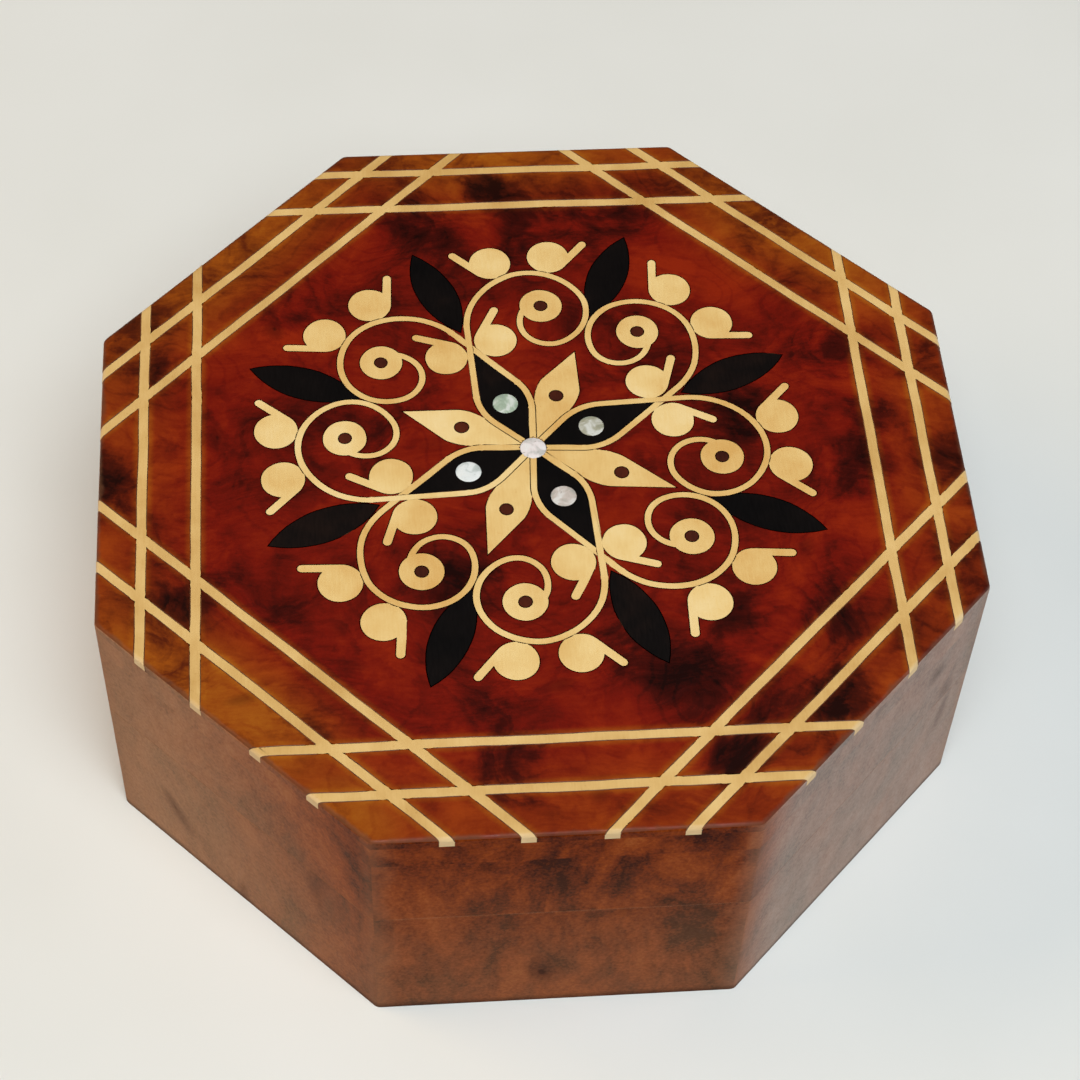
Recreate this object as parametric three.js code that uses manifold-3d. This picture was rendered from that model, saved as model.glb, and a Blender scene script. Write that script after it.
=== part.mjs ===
// Octagonal marquetry jewelry box with a hinged lid.
// Millimetres, +Z up, +X to the right, +Y towards the hinges at the back.
// The origin is the centre of the underside, where the box rests.

import * as THREE from "three";
import { mergeVertices } from "three/addons/utils/BufferGeometryUtils.js";
import Module from "manifold-3d";

const wasm = await Module();
wasm.setup();

// Gaps
const glueGap = 0.1; // every glued joint, and round every inlay in its pocket
const jointGap = 0.12; // between the rims of the body and the closed lid
const fitGap = 0.1; // round a hinge leaf in its mortise, and round a screw
const liningGap = 0.3; // round the felt
const meetingGap = 0.15; // between neighbouring volutes
const runningGap = 0.05; // round a hinge pin, on the radius
const swingGap = 0.25; // round a hinge knuckle, and where the back bevels meet
const barrelGap = 0.15; // between neighbouring barrels of a hinge

// Box
const boxHeight = 45;
const lidDepth = 20; // outside, from the joint to the top
const wallThickness = 7;
const cornerRound = 1.4; // upright corners
const topRound = 0.6; // edge of the top
const topThickness = 6;
const baseThickness = 4;
const baseRebate = 3.5; // how far the base is let into the walls
const feltThickness = 1;

// Lid hinges
const lidOpening = 100; // degrees, where the back bevels meet
const hingeLength = 14;
const hingeEndMargin = 6; // bare wall from a corner to a hinge
const hingeAxisInset = 1.4; // from the back face to the pin's axis
const knuckleRadius = 1.25;
const pinRadius = 0.55;
const leafThickness = 0.8;
const leafStop = 1; // wood left inside a leaf's mortise
const screwLength = 6;
const screwShankRadius = 0.6;
const screwHeadRadius = 1.1;
const screwHeadHeight = 0.55;
const screwSlot = 0.3;
const screwSpacing = 8;

// Marquetry
const inlayDepth = 1.6;
const pearlDepth = 1.2;
const borderStringWidth = 1.4;
const scrollStringWidth = 1;
const edgeMargin = 5.6; // from the side faces to the outer strings
const stringSpacing = 7.3; // from the outer to the inner strings
const fieldMargin = 4.75; // from the leaf tips to the inner strings
const borderShift = new THREE.Vector2(0.4, 1.4); // laid by hand, a little off centre
const rosetteShift = new THREE.Vector2(0, 2.1);
const sprayCount = 4;
const firstSpray = 22.5; // degrees, towards a corner

// Rosette
const petalOpening = 25; // degrees between a spray's axis and its strings at the centre
const crossingAngle = 20; // degrees between a spray's axis and its strings where they cross
const petalBend = 7.5; // radius of a string round the wide part of a petal
const crossingRun = 3.2; // straight string past the crossing
const voluteOutRadius = 10.2; // the volute's arcs, from the crossing to the eye
const voluteTopRadius = 8.1;
const voluteMeetingRadius = 6.5;
const voluteInnerRadius = 4.1;
const voluteEndRadius = 4.6;
const voluteEndSweep = 55; // degrees
const eyeBearing = 100; // degrees, from the string's end to the eye's centre
const discRadius = 3.1; // the eyes and the commas are cut with one punch
const eyeDotRadius = 0.95;
const commaTailWidth = 1.3;
const commaTailLength = 5.8; // from the disc's centre to the tip
const innerTailTurn = 50; // degrees, the comma in the crossing's crook
const innerCommaSlide = 0.6; // how far that comma sits back from the crook, along the petal's string
const outerCommas = [
  { bearing: -5, tail: -24, side: -1 }, // degrees round the volute, and the side of the tail
  { bearing: 39, tail: 63, side: 1 },
];
const joinOverlap = 0.15; // how far a comma or an eye reaches into its string
const pearlRadius = 1.85;
const centrePearlRadius = 1.95;
const petalPearls = [9.1, 8.8, 10, 9.4]; // from the centre, pressed in by hand, against the clock from the right
const paleTips = [18.8, 19.4, 19.7, 21]; // tips of the pale petals, against the clock from the top
const paleDots = [10, 10.6, 11.5, 13]; // dots on the pale petals, in the same order
const paleShoulderDistance = 10.7;
const paleShoulderWidth = 6.3;
const paleShoulderFlat = 1.8; // short flat of the rounded shoulder
const paleDotRadius = 1;
const leafLength = 16.6;
const leafWidth = 5.6;
const leafRootGap = 1.4; // from the fork of the strings to a leaf's root

// Drawing
const cutOver = 1; // how far a cut reaches past the face that it opens
const arcStep = 20; // degrees
const discSteps = 14;
const dotSteps = 8;
const barrelSteps = 12;
const screwSteps = 8;
const cornerSteps = 3;
const topRoundSteps = 2;
const leafSideSteps = 5;

// Materials
function material(color, roughness, metalness = 0) {
  return new THREE.MeshStandardMaterial({ color, roughness, metalness });
}

const burl = material("#6e3320", 0.35);
const burlTop = material("#6b130c", 0.25);
const lemonwood = material("#efcf8c", 0.4);
const ebony = material("#15100f", 0.3);
const pearl = material("#dfe3dc", 0.2);
const brass = material("#b98d3e", 0.35, 1);
const felt = material("#1f3d2b", 0.95);

// Points and lines
const radians = THREE.MathUtils.degToRad;

function polar(distance, degrees) {
  return new THREE.Vector2(distance * Math.cos(radians(degrees)), distance * Math.sin(radians(degrees)));
}

function turned(points, degrees) {
  return points.map((p) => p.clone().rotateAround(new THREE.Vector2(), radians(degrees)));
}

function mirrored(points) {
  return points.map((p) => new THREE.Vector2(p.x, -p.y)).reverse();
}

function circle(centre, radius, steps) {
  return Array.from({ length: steps }, (_, i) => polar(radius, (360 * i) / steps).add(centre));
}

// An octagon with rounded corners, flats facing the axes.
function octagon(flats, round) {
  const points = [];
  for (let corner = 0; corner < 8; corner++) {
    const bearing = 22.5 + 45 * corner;
    const centre = polar((flats / 2 - round) / Math.cos(radians(22.5)), bearing);
    const steps = round > 0 ? cornerSteps : 0;
    for (let i = 0; i <= steps; i++) {
      const turn = steps ? bearing - 22.5 + (45 * i) / steps : bearing;
      points.push(polar(round, turn).add(centre));
    }
  }
  return points;
}

// Straight runs and compass arcs to the left, one after the other.
function drawn(start, heading, moves) {
  const points = [start.clone()];
  let at = start.clone();
  let facing = heading;
  for (const move of moves) {
    if (move.run) {
      at = at.clone().add(polar(move.run, facing));
      points.push(at);
      continue;
    }
    const centre = at.clone().add(polar(move.radius, facing + 90));
    const steps = Math.ceil(move.sweep / arcStep);
    for (let i = 1; i <= steps; i++) {
      points.push(polar(move.radius, facing - 90 + (move.sweep * i) / steps).add(centre));
    }
    facing += move.sweep;
    at = points[points.length - 1];
  }
  return points;
}

// A point of a line or outline set off to its right by a distance, mitred between its two edges.
function setOff(before, at, after, distance) {
  const first = at.clone().sub(before).normalize();
  const second = after.clone().sub(at).normalize();
  const normal = new THREE.Vector2(first.y + second.y, -first.x - second.x);
  return at.clone().add(normal.multiplyScalar(distance / (1 + first.dot(second))));
}

function sideOf(line, distance) {
  const last = line.length - 1;
  return line.map((at, i) => {
    const before = i > 0 ? line[i - 1] : at.clone().add(at).sub(line[1]);
    const after = i < last ? line[i + 1] : at.clone().add(at).sub(line[last - 1]);
    return setOff(before, at, after, distance);
  });
}

function ribbon(line, width) {
  return [...sideOf(line, width / 2), ...sideOf(line, -width / 2).reverse()];
}

function grown(outline, distance) {
  const count = outline.length;
  return outline.map((at, i) => setOff(outline[(i + count - 1) % count], at, outline[(i + 1) % count], distance));
}

// Solids
function solid(geometry) {
  const bare = geometry.clone();
  bare.deleteAttribute("normal");
  bare.deleteAttribute("uv");
  const merged = mergeVertices(bare);
  const vertProperties = new Float32Array(merged.attributes.position.array);
  const triVerts = new Uint32Array(merged.index.array);
  return new wasm.Manifold(new wasm.Mesh({ numProp: 3, vertProperties, triVerts }));
}

function geometryOf(body) {
  const { vertProperties, triVerts } = body.getMesh();
  const geometry = new THREE.BufferGeometry();
  geometry.setAttribute("position", new THREE.BufferAttribute(new Float32Array(vertProperties), 3));
  geometry.setIndex(new THREE.BufferAttribute(new Uint32Array(triVerts), 1));
  geometry.computeVertexNormals();
  return geometry;
}

function joined(bodies) {
  return bodies.reduce((sum, body) => sum.add(body));
}

function moved(body, matrix) {
  return solid(geometryOf(body).applyMatrix4(matrix));
}

function prism(outline, low, high) {
  const shape = new THREE.Shape(outline);
  const geometry = new THREE.ExtrudeGeometry(shape, { depth: high - low, bevelEnabled: false });
  return solid(geometry.translate(0, 0, low));
}

function block(size, centre) {
  return solid(new THREE.BoxGeometry(...size).translate(...centre));
}

function rodAlongX(radius, length, centre, steps) {
  const geometry = new THREE.CylinderGeometry(radius, radius, length, steps);
  return solid(geometry.rotateZ(Math.PI / 2).translate(...centre));
}

// Outlines of one size stacked at rising heights, closed below and above.
function stack(layers) {
  const count = layers[0].outline.length;
  const positions = layers.flatMap(({ outline, z }) => outline.flatMap((p) => [p.x, p.y, z]));
  const triangles = [];
  for (let layer = 0; layer + 1 < layers.length; layer++) {
    for (let i = 0; i < count; i++) {
      const a = layer * count + i;
      const b = layer * count + ((i + 1) % count);
      triangles.push(a, b, b + count, a, b + count, a + count);
    }
  }
  const last = (layers.length - 1) * count;
  for (let i = 1; i + 1 < count; i++) {
    triangles.push(0, i + 1, i, last, last + i, last + i + 1);
  }
  const geometry = new THREE.BufferGeometry();
  geometry.setAttribute("position", new THREE.Float32BufferAttribute(positions, 3));
  geometry.setIndex(triangles);
  return solid(geometry);
}

// Rosette lines, drawn for one spray along +X from the centre of the rosette
const voluteTurns = [
  { radius: voluteOutRadius, sweep: 90 - crossingAngle },
  { radius: voluteTopRadius, sweep: 90 },
  { radius: voluteMeetingRadius, sweep: 90 },
  { radius: voluteInnerRadius, sweep: 90 },
  { radius: voluteEndRadius, sweep: voluteEndSweep },
];

// The scroll is drawn from the crossing, and the crossing then placed so that neighbouring volutes meet.
// The centre of one of the volute's arcs, seen from the crossing.
function arcCentre(index) {
  let at = polar(crossingRun, crossingAngle);
  let facing = crossingAngle;
  for (const { radius, sweep } of voluteTurns.slice(0, index)) {
    at = at.add(polar(radius, facing + 90)).add(polar(radius, facing + sweep - 90));
    facing += sweep;
  }
  return at.add(polar(voluteTurns[index].radius, facing + 90));
}

const scrollFromCrossing = drawn(new THREE.Vector2(), crossingAngle, [{ run: crossingRun }, ...voluteTurns]);
const diagonalReach = Math.max(...scrollFromCrossing.map((p) => p.y - p.x));
const crossing = diagonalReach + (Math.SQRT2 * (scrollStringWidth + meetingGap)) / 2;
const meetingCentre = arcCentre(2);
const meetingDistance = (meetingCentre.x + crossing + meetingCentre.y) / Math.SQRT2;

// A petal's string runs straight out at petalOpening, bends round the petal and runs straight to the crossing.
function petalRuns() {
  const [opening, closing] = [radians(petalOpening), radians(crossingAngle)];
  const alongBend = petalBend * (Math.sin(opening) + Math.sin(closing));
  const acrossBend = petalBend * (Math.cos(opening) - Math.cos(closing));
  const spare = crossing - alongBend;
  const outward = (spare * Math.sin(closing) + acrossBend * Math.cos(closing)) / Math.sin(opening + closing);
  const inward = (spare - outward * Math.cos(opening)) / Math.cos(closing);
  return [{ run: outward }, { radius: petalBend, sweep: petalOpening + crossingAngle }, { run: inward }];
}

const petalLine = drawn(new THREE.Vector2(), -petalOpening, petalRuns());
const volutePoints = scrollFromCrossing.slice(1).map((p) => new THREE.Vector2(p.x + crossing, p.y));
const scrollLine = [...petalLine.slice(0, -1), ...volutePoints];
const scrollEnd = scrollLine[scrollLine.length - 1];
const eyeCentre = polar(discRadius - scrollStringWidth / 2, eyeBearing).add(scrollEnd);

// A comma leaf is a disc with a straight tail that leaves it along one side.
function comma(centre, tailTurn, side) {
  const tailInside = discRadius - commaTailWidth;
  const tailStart = -THREE.MathUtils.radToDeg(Math.asin(tailInside / discRadius));
  const tipStart = commaTailLength - commaTailWidth / 2;
  const outline = [];
  for (let i = 0; i <= discSteps; i++) {
    outline.push(polar(discRadius, tailStart + ((270 - tailStart) * i) / discSteps));
  }
  outline.push(new THREE.Vector2(tipStart, -discRadius));
  outline.push(new THREE.Vector2(commaTailLength, commaTailWidth / 2 - discRadius));
  outline.push(new THREE.Vector2(tipStart, -tailInside));
  const sided = side < 0 ? outline : mirrored(outline);
  return turned(sided, tailTurn).map((p) => p.add(centre));
}

function innerComma() {
  const height = (discRadius + scrollStringWidth / 2 - joinOverlap) / Math.cos(radians(crossingAngle));
  const slide = polar(innerCommaSlide, 180 - crossingAngle);
  return comma(new THREE.Vector2(crossing, height).add(slide), innerTailTurn, -1);
}

// The outer commas sit round the volute's second arc.
function outerComma({ bearing, tail, side }) {
  const distance = voluteTurns[1].radius + scrollStringWidth / 2 + discRadius - joinOverlap;
  const centre = new THREE.Vector2(crossing, 0).add(arcCentre(1)).add(polar(distance, bearing));
  return comma(centre, tail, side);
}

// Half of a spray: everything joined to the string that curls above the axis.
const scrollOutlines = [
  ribbon(scrollLine, scrollStringWidth),
  circle(eyeCentre, discRadius, discSteps),
  innerComma(),
  ...outerCommas.map(outerComma),
];
const sprayOutlines = [...scrollOutlines, ...scrollOutlines.map(mirrored)];
const eyeDot = circle(eyeCentre, eyeDotRadius, dotSteps);
const eyeDots = [eyeDot, mirrored(eyeDot)];

// A pointed leaf of two arcs, its root at a distance along +X.
function leaf(root) {
  const half = leafLength / 2;
  const bow = (half * half - (leafWidth * leafWidth) / 4) / leafWidth;
  const sideRadius = bow + leafWidth / 2;
  const side = [];
  for (let i = 1; i < leafSideSteps; i++) {
    const x = -half + (leafLength * i) / leafSideSteps;
    side.push(new THREE.Vector2(root + half + x, bow - Math.sqrt(sideRadius * sideRadius - x * x)));
  }
  const ends = [new THREE.Vector2(root, 0), new THREE.Vector2(root + leafLength, 0)];
  return [ends[0], ...side, ends[1], ...mirrored(side)];
}

const forkDistance = crossing + scrollStringWidth / 2 / Math.sin(radians(crossingAngle));
const axisLeaf = leaf(forkDistance + leafRootGap);
const betweenLeaf = turned(leaf(meetingDistance + leafRootGap), 45);

// A pale petal is a kite between two sprays.
function palePetal(tip) {
  const near = paleShoulderDistance - paleShoulderFlat / 2;
  const side = [
    new THREE.Vector2(near, -paleShoulderWidth / 2),
    new THREE.Vector2(near + paleShoulderFlat, -paleShoulderWidth / 2),
  ];
  return turned([new THREE.Vector2(), ...side, new THREE.Vector2(tip, 0), ...mirrored(side)], 45);
}

function paleDot(distance) {
  return circle(polar(distance, 45), paleDotRadius, dotSteps);
}

function petalPearl(distance) {
  return circle(new THREE.Vector2(distance, 0), pearlRadius, discSteps);
}

const petalInside = [...petalLine, ...mirrored(petalLine).slice(1, -1)];
const centrePearl = circle(new THREE.Vector2(), centrePearlRadius, discSteps);

// Sizes of the box, worked out from the pattern outwards
const rosetteReach = meetingDistance + leafRootGap + leafLength;
const innerStringDistance = rosetteReach + fieldMargin;
const outerStringDistance = innerStringDistance + stringSpacing;
const acrossFlats = 2 * (outerStringDistance + edgeMargin);
const insideFlats = acrossFlats - 2 * wallThickness;
const sideLength = acrossFlats * Math.tan(radians(22.5));
const jointHeight = boxHeight - lidDepth;
const bodyRim = jointHeight - jointGap / 2;
const lidRim = jointHeight + jointGap / 2;
const topUnderside = boxHeight - topThickness;
const above = boxHeight + cutOver;
const below = -cutOver;

// A wedge from the axis outwards, narrowed by half a gap on each of its sides.
function wedge(bearing, halfAngle, gap, low, high) {
  const apex = polar(gap / 2 / Math.sin(radians(halfAngle)), bearing);
  const far = acrossFlats / Math.cos(radians(halfAngle));
  const corners = [bearing - halfAngle, bearing + halfAngle].map((turn) => polar(far, turn).add(apex));
  return prism([apex, ...corners], low, high);
}

// Inlay pieces of one quarter of the rosette, with the top of the lid at z = 0
function inlay(outlines, gap = 0, depth = inlayDepth) {
  const high = gap > 0 ? cutOver : 0;
  return joined(outlines.map((outline) => prism(grown(outline, gap), -depth - gap, high)));
}

const quarterTurn = new THREE.Matrix4().makeRotationZ(Math.PI / 2);
const sprayRoom = inlay(sprayOutlines, glueGap);
const bothSprayRooms = sprayRoom.add(moved(sprayRoom, quarterTurn));
const petalRoom = inlay([petalInside, turned(petalInside, 90)], 0, inlayDepth + cutOver);
const centrePearlRoom = inlay([centrePearl], glueGap);

const sprayBody = inlay(sprayOutlines)
  .intersect(wedge(0, 45, meetingGap, below - inlayDepth, above))
  .subtract(inlay(eyeDots, glueGap / 2, inlayDepth + cutOver))
  .subtract(centrePearlRoom);
const axisLeafBody = inlay([axisLeaf]).subtract(sprayRoom);
const betweenLeafBody = inlay([betweenLeaf]).subtract(bothSprayRooms);

function darkPetalBody(pearlDistance) {
  return inlay([petalInside])
    .subtract(sprayRoom)
    .subtract(centrePearlRoom)
    .subtract(inlay([petalPearl(pearlDistance)], glueGap, pearlDepth));
}

function palePetalBody(tip, dotDistance) {
  return inlay([palePetal(tip)])
    .subtract(bothSprayRooms)
    .subtract(petalRoom)
    .subtract(centrePearlRoom)
    .subtract(inlay([paleDot(dotDistance)], glueGap / 2, inlayDepth + cutOver));
}

// The pockets of one quarter leave the board's own wood standing in the dots.
function quarterPockets(tip, dotDistance) {
  const pieces = [...sprayOutlines, petalInside, palePetal(tip), axisLeaf, betweenLeaf];
  const dots = [...eyeDots, paleDot(dotDistance)].map((dot) => grown(dot, -glueGap / 2));
  const floor = -inlayDepth - glueGap - cutOver;
  const posts = joined(dots.map((dot) => prism(dot, floor, 2 * cutOver)));
  return inlay(pieces, glueGap).subtract(posts);
}

function rosettePlace(quarter) {
  const place = new THREE.Matrix4().makeTranslation(rosetteShift.x, rosetteShift.y, boxHeight);
  return place.multiply(new THREE.Matrix4().makeRotationZ(radians(firstSpray + 90 * quarter)));
}

// Lid top
function topBlank() {
  const layers = [{ z: topUnderside, outline: octagon(acrossFlats, cornerRound) }];
  for (let i = 0; i <= topRoundSteps; i++) {
    const turn = (Math.PI / 2) * (i / topRoundSteps);
    const inset = topRound * (1 - Math.cos(turn));
    const round = Math.max(cornerRound - inset, cornerRound / 10);
    const z = boxHeight - topRound * (1 - Math.sin(turn));
    layers.push({ z, outline: octagon(acrossFlats - 2 * inset, round) });
  }
  return stack(layers);
}

// Every string runs right across the top, parallel to one side.
function borderBars(gap) {
  const bars = [];
  for (let side = 0; side < 8; side++) {
    for (const distance of [innerStringDistance, outerStringDistance]) {
      const ends = [-acrossFlats, acrossFlats].map((y) => new THREE.Vector2(distance, y));
      const bar = turned(ribbon(ends, borderStringWidth), 45 * side).map((p) => p.add(borderShift));
      bars.push(prism(grown(bar, gap), boxHeight - inlayDepth - gap, above));
    }
  }
  return joined(bars);
}

const blank = topBlank();
const borderBody = borderBars(0).intersect(blank);

function topBoardBody() {
  const pockets = paleTips.map((tip, i) => moved(quarterPockets(tip, paleDots[i]), rosettePlace(i)));
  const centre = moved(inlay([centrePearl], glueGap, pearlDepth), rosettePlace(0));
  return blank.subtract(borderBars(glueGap)).subtract(joined([...pockets, centre]));
}

// Hinges
const hingeAxis = new THREE.Vector2(acrossFlats / 2 - hingeAxisInset, jointHeight); // y and z
const hingeOffset = sideLength / 2 - hingeEndMargin - hingeLength / 2;
const leafReach = wallThickness - hingeAxisInset - leafStop; // from the axis to a leaf's inner edge
const plateEnd = knuckleRadius + swingGap;
const screwRow = hingeAxis.x - (leafReach + plateEnd) / 2;
const barrelLength = (hingeLength - 2 * barrelGap) / 3;
const barrelCentres = { body: [-1, 1], lid: [0] };

// A box between two distances from the hinge's axis, on the body's or the lid's side of the joint.
function hingeBlock(side, x, length, yNear, yFar, thickness, gap) {
  const height = thickness + gap;
  const middle = side * (jointGap / 2 + height / 2);
  const size = [length + 2 * gap, yFar - yNear + gap, height];
  return block(size, [x, hingeAxis.x - (yNear + yFar + gap) / 2, hingeAxis.y + middle]);
}

// Screws stand in the back wall, heads towards the joint. The head's top is at z = 0 here.
function screwSolid(gap) {
  const top = gap > 0 ? cutOver : 0;
  const profile = [
    new THREE.Vector2(0, -screwLength - gap),
    new THREE.Vector2(screwShankRadius + gap, -screwLength + 2 * screwShankRadius),
    new THREE.Vector2(screwShankRadius + gap, -screwHeadHeight),
    new THREE.Vector2(screwHeadRadius + gap, 0),
    new THREE.Vector2(screwHeadRadius + gap, top),
    new THREE.Vector2(0, top),
  ].filter((p, i, all) => i === 0 || p.distanceTo(all[i - 1]) > 0);
  const geometry = new THREE.LatheGeometry(profile, screwSteps).rotateX(Math.PI / 2);
  return solid(geometry);
}

function screwPlace(side, x) {
  const place = new THREE.Matrix4().makeTranslation(x, screwRow, hingeAxis.y + side * (jointGap / 2 + runningGap));
  return side < 0 ? place : place.multiply(new THREE.Matrix4().makeRotationX(Math.PI));
}

const screwXs = [-screwSpacing / 2, screwSpacing / 2];
const slotted = screwSolid(0).subtract(block([4 * screwHeadRadius, screwSlot, screwSlot * 2], [0, 0, 0]));

// One leaf, centred on x = 0, with its own barrels. side is -1 for the body and 1 for the lid.
function hingeLeaf(side, barrels) {
  const plate = hingeBlock(side, 0, hingeLength, plateEnd, leafReach, leafThickness, 0);
  const parts = [plate];
  for (const barrel of barrels) {
    const x = barrel * (barrelLength + barrelGap);
    parts.push(hingeBlock(side, x, barrelLength, 0, plateEnd + leafThickness, leafThickness, 0));
    parts.push(rodAlongX(knuckleRadius, barrelLength, [x, hingeAxis.x, hingeAxis.y], barrelSteps));
  }
  const bore = rodAlongX(pinRadius + runningGap, 2 * hingeLength, [0, hingeAxis.x, hingeAxis.y], barrelSteps);
  const holes = screwXs.map((x) => moved(screwSolid(fitGap), screwPlace(side, x)));
  return joined(parts).subtract(joined([bore, ...holes]));
}

const hingePin = rodAlongX(pinRadius, hingeLength, [0, hingeAxis.x, hingeAxis.y], barrelSteps);

// What both hinges take out of the body's or the lid's back wall.
function hingeRecess(side) {
  const channelRadius = knuckleRadius + swingGap;
  const cuts = [-hingeOffset, hingeOffset].flatMap((x) => [
    hingeBlock(side, x, hingeLength, 0, leafReach, leafThickness, fitGap),
    rodAlongX(channelRadius, hingeLength + 2 * fitGap, [x, hingeAxis.x, hingeAxis.y], barrelSteps),
    ...screwXs.map((screw) => moved(screwSolid(fitGap), screwPlace(side, x + screw))),
  ]);
  return joined(cuts);
}

// The back edges of body and lid are bevelled together, so that the lid stops when the bevels meet.
function backBevel() {
  const half = radians(lidOpening / 2);
  const depth = 2 * hingeAxisInset + swingGap;
  const apex = hingeAxis.x - swingGap / 2 / Math.sin(half);
  const rise = depth * Math.tan(half);
  const outline = [
    new THREE.Vector2(apex, hingeAxis.y),
    new THREE.Vector2(apex + depth, hingeAxis.y - rise),
    new THREE.Vector2(apex + depth, hingeAxis.y + rise),
  ];
  const geometry = new THREE.ExtrudeGeometry(new THREE.Shape(outline), { depth: acrossFlats, bevelEnabled: false });
  geometry.applyMatrix4(new THREE.Matrix4().set(0, 0, 1, -acrossFlats / 2, 1, 0, 0, 0, 0, 1, 0, 0, 0, 0, 0, 1));
  return solid(geometry);
}

// Walls
function bodyRing() {
  return prism(octagon(acrossFlats, cornerRound), 0, bodyRim)
    .subtract(prism(octagon(insideFlats, 0), below, above))
    .subtract(prism(octagon(insideFlats + 2 * baseRebate, 0), below, baseThickness + glueGap))
    .subtract(backBevel())
    .subtract(hingeRecess(-1));
}

function lidRing() {
  return prism(octagon(acrossFlats, cornerRound), lidRim, topUnderside - glueGap)
    .subtract(prism(octagon(insideFlats, 0), below, above))
    .subtract(backBevel())
    .subtract(hingeRecess(1));
}

const baseBody = prism(octagon(insideFlats + 2 * baseRebate - 2 * glueGap, 0), 0, baseThickness);
const feltFloor = baseThickness + glueGap;
const feltBody = prism(octagon(insideFlats - 2 * liningGap, 0), feltFloor, feltFloor + feltThickness);

// Scene
function mesh(name, body, finish) {
  const piece = new THREE.Mesh(geometryOf(body), finish);
  piece.name = name;
  return piece;
}

const sides = ["front", "front_right", "right", "back_right", "back", "back_left", "left", "front_left"];

function walls(prefix, ring) {
  return sides.map((side, i) => {
    const piece = ring.intersect(wedge(45 * i - 90, 22.5, glueGap, below, above));
    return mesh(`${prefix}_${side}`, piece, burl);
  });
}

function hingeMeshes(part) {
  const side = part === "body" ? -1 : 1;
  const leafBody = hingeLeaf(side, barrelCentres[part]);
  const meshes = [];
  for (const [hand, x] of [["left", -hingeOffset], ["right", hingeOffset]]) {
    const leafMesh = mesh(`hinge_${hand}_${part}_leaf`, leafBody, brass);
    leafMesh.position.x = x;
    meshes.push(leafMesh);
    screwXs.forEach((screw, i) => {
      const screwMesh = mesh(`hinge_${hand}_${part}_screw_${i + 1}`, slotted, brass);
      screwMesh.applyMatrix4(screwPlace(side, x + screw));
      meshes.push(screwMesh);
    });
    if (part === "body") {
      const pinMesh = mesh(`hinge_${hand}_pin`, hingePin, brass);
      pinMesh.position.x = x;
      meshes.push(pinMesh);
    }
  }
  return meshes;
}

function rosetteQuarter(number) {
  const pearlDistance = petalPearls[number - 1];
  const palePetalSolid = palePetalBody(paleTips[number - 1], paleDots[number - 1]);
  const quarter = new THREE.Group();
  quarter.rotation.z = radians(firstSpray + 90 * (number - 1));
  quarter.add(
    mesh(`lemonwood_spray_${number}`, sprayBody, lemonwood),
    mesh(`ebony_petal_${number}`, darkPetalBody(pearlDistance), ebony),
    mesh(`pearl_dot_${number}`, inlay([petalPearl(pearlDistance)], 0, pearlDepth), pearl),
    mesh(`lemonwood_petal_${number}`, palePetalSolid, lemonwood),
    mesh(`ebony_leaf_${number}`, axisLeafBody, ebony),
    mesh(`ebony_side_leaf_${number}`, betweenLeafBody, ebony),
  );
  return quarter;
}

function rosette() {
  const group = new THREE.Group();
  group.position.set(rosetteShift.x, rosetteShift.y, boxHeight);
  for (let number = 1; number <= sprayCount; number++) {
    group.add(rosetteQuarter(number));
  }
  group.add(mesh("pearl_dot_centre", inlay([centrePearl], 0, pearlDepth), pearl));
  return group;
}

const body = new THREE.Group();
body.add(...walls("body_wall", bodyRing()));
body.add(mesh("base_board", baseBody, burl), mesh("felt_floor", feltBody, felt));
body.add(...hingeMeshes("body"));

const lid = new THREE.Group();
lid.add(...walls("lid_wall", lidRing()));
lid.add(mesh("lid_top_board", topBoardBody(), burlTop), mesh("border_strings", borderBody, lemonwood));
lid.add(rosette());
lid.add(...hingeMeshes("lid"));

const box = new THREE.Group();
box.add(body, lid);

export default box;
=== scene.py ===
# %% [markdown]
# # An octagonal marquetry jewelry box
# The box is made of thuya burl, a red-brown root wood full of small knots, and its lid is inlaid with
# lemonwood, ebony and mother-of-pearl. The measured solids come first, as a fixed frame. Everything made
# here sits in the same place, in metres, and only makes those solids look like the real material.

# %% Load the measured frame
import cmath
import math

import bmesh
import bpy
import numpy as np
from mathutils import Matrix, Vector, noise
from mathutils.geometry import delaunay_2d_cdt


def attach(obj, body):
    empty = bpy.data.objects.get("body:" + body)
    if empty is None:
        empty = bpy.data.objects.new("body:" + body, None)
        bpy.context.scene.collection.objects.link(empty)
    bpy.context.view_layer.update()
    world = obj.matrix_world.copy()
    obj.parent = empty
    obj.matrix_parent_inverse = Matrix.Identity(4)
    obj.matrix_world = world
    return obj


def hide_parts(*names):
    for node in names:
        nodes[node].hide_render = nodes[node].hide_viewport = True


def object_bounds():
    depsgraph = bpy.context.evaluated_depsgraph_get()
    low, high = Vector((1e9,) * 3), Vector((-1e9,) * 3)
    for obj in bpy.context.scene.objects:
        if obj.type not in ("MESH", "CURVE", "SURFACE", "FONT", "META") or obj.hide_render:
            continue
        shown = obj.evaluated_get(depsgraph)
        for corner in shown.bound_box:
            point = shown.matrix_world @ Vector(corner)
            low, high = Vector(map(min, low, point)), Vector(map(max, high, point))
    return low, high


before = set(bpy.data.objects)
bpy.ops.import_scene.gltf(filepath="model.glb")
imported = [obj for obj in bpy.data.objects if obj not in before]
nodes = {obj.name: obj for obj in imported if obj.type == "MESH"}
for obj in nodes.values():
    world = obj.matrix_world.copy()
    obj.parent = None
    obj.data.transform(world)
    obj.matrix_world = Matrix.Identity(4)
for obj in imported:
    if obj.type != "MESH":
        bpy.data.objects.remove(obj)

MM = 0.001
cad_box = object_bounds()
print("frame", len(nodes), "nodes, box", [round(v / MM, 2) for v in (*cad_box[0], *cad_box[1])], "mm")

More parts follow.
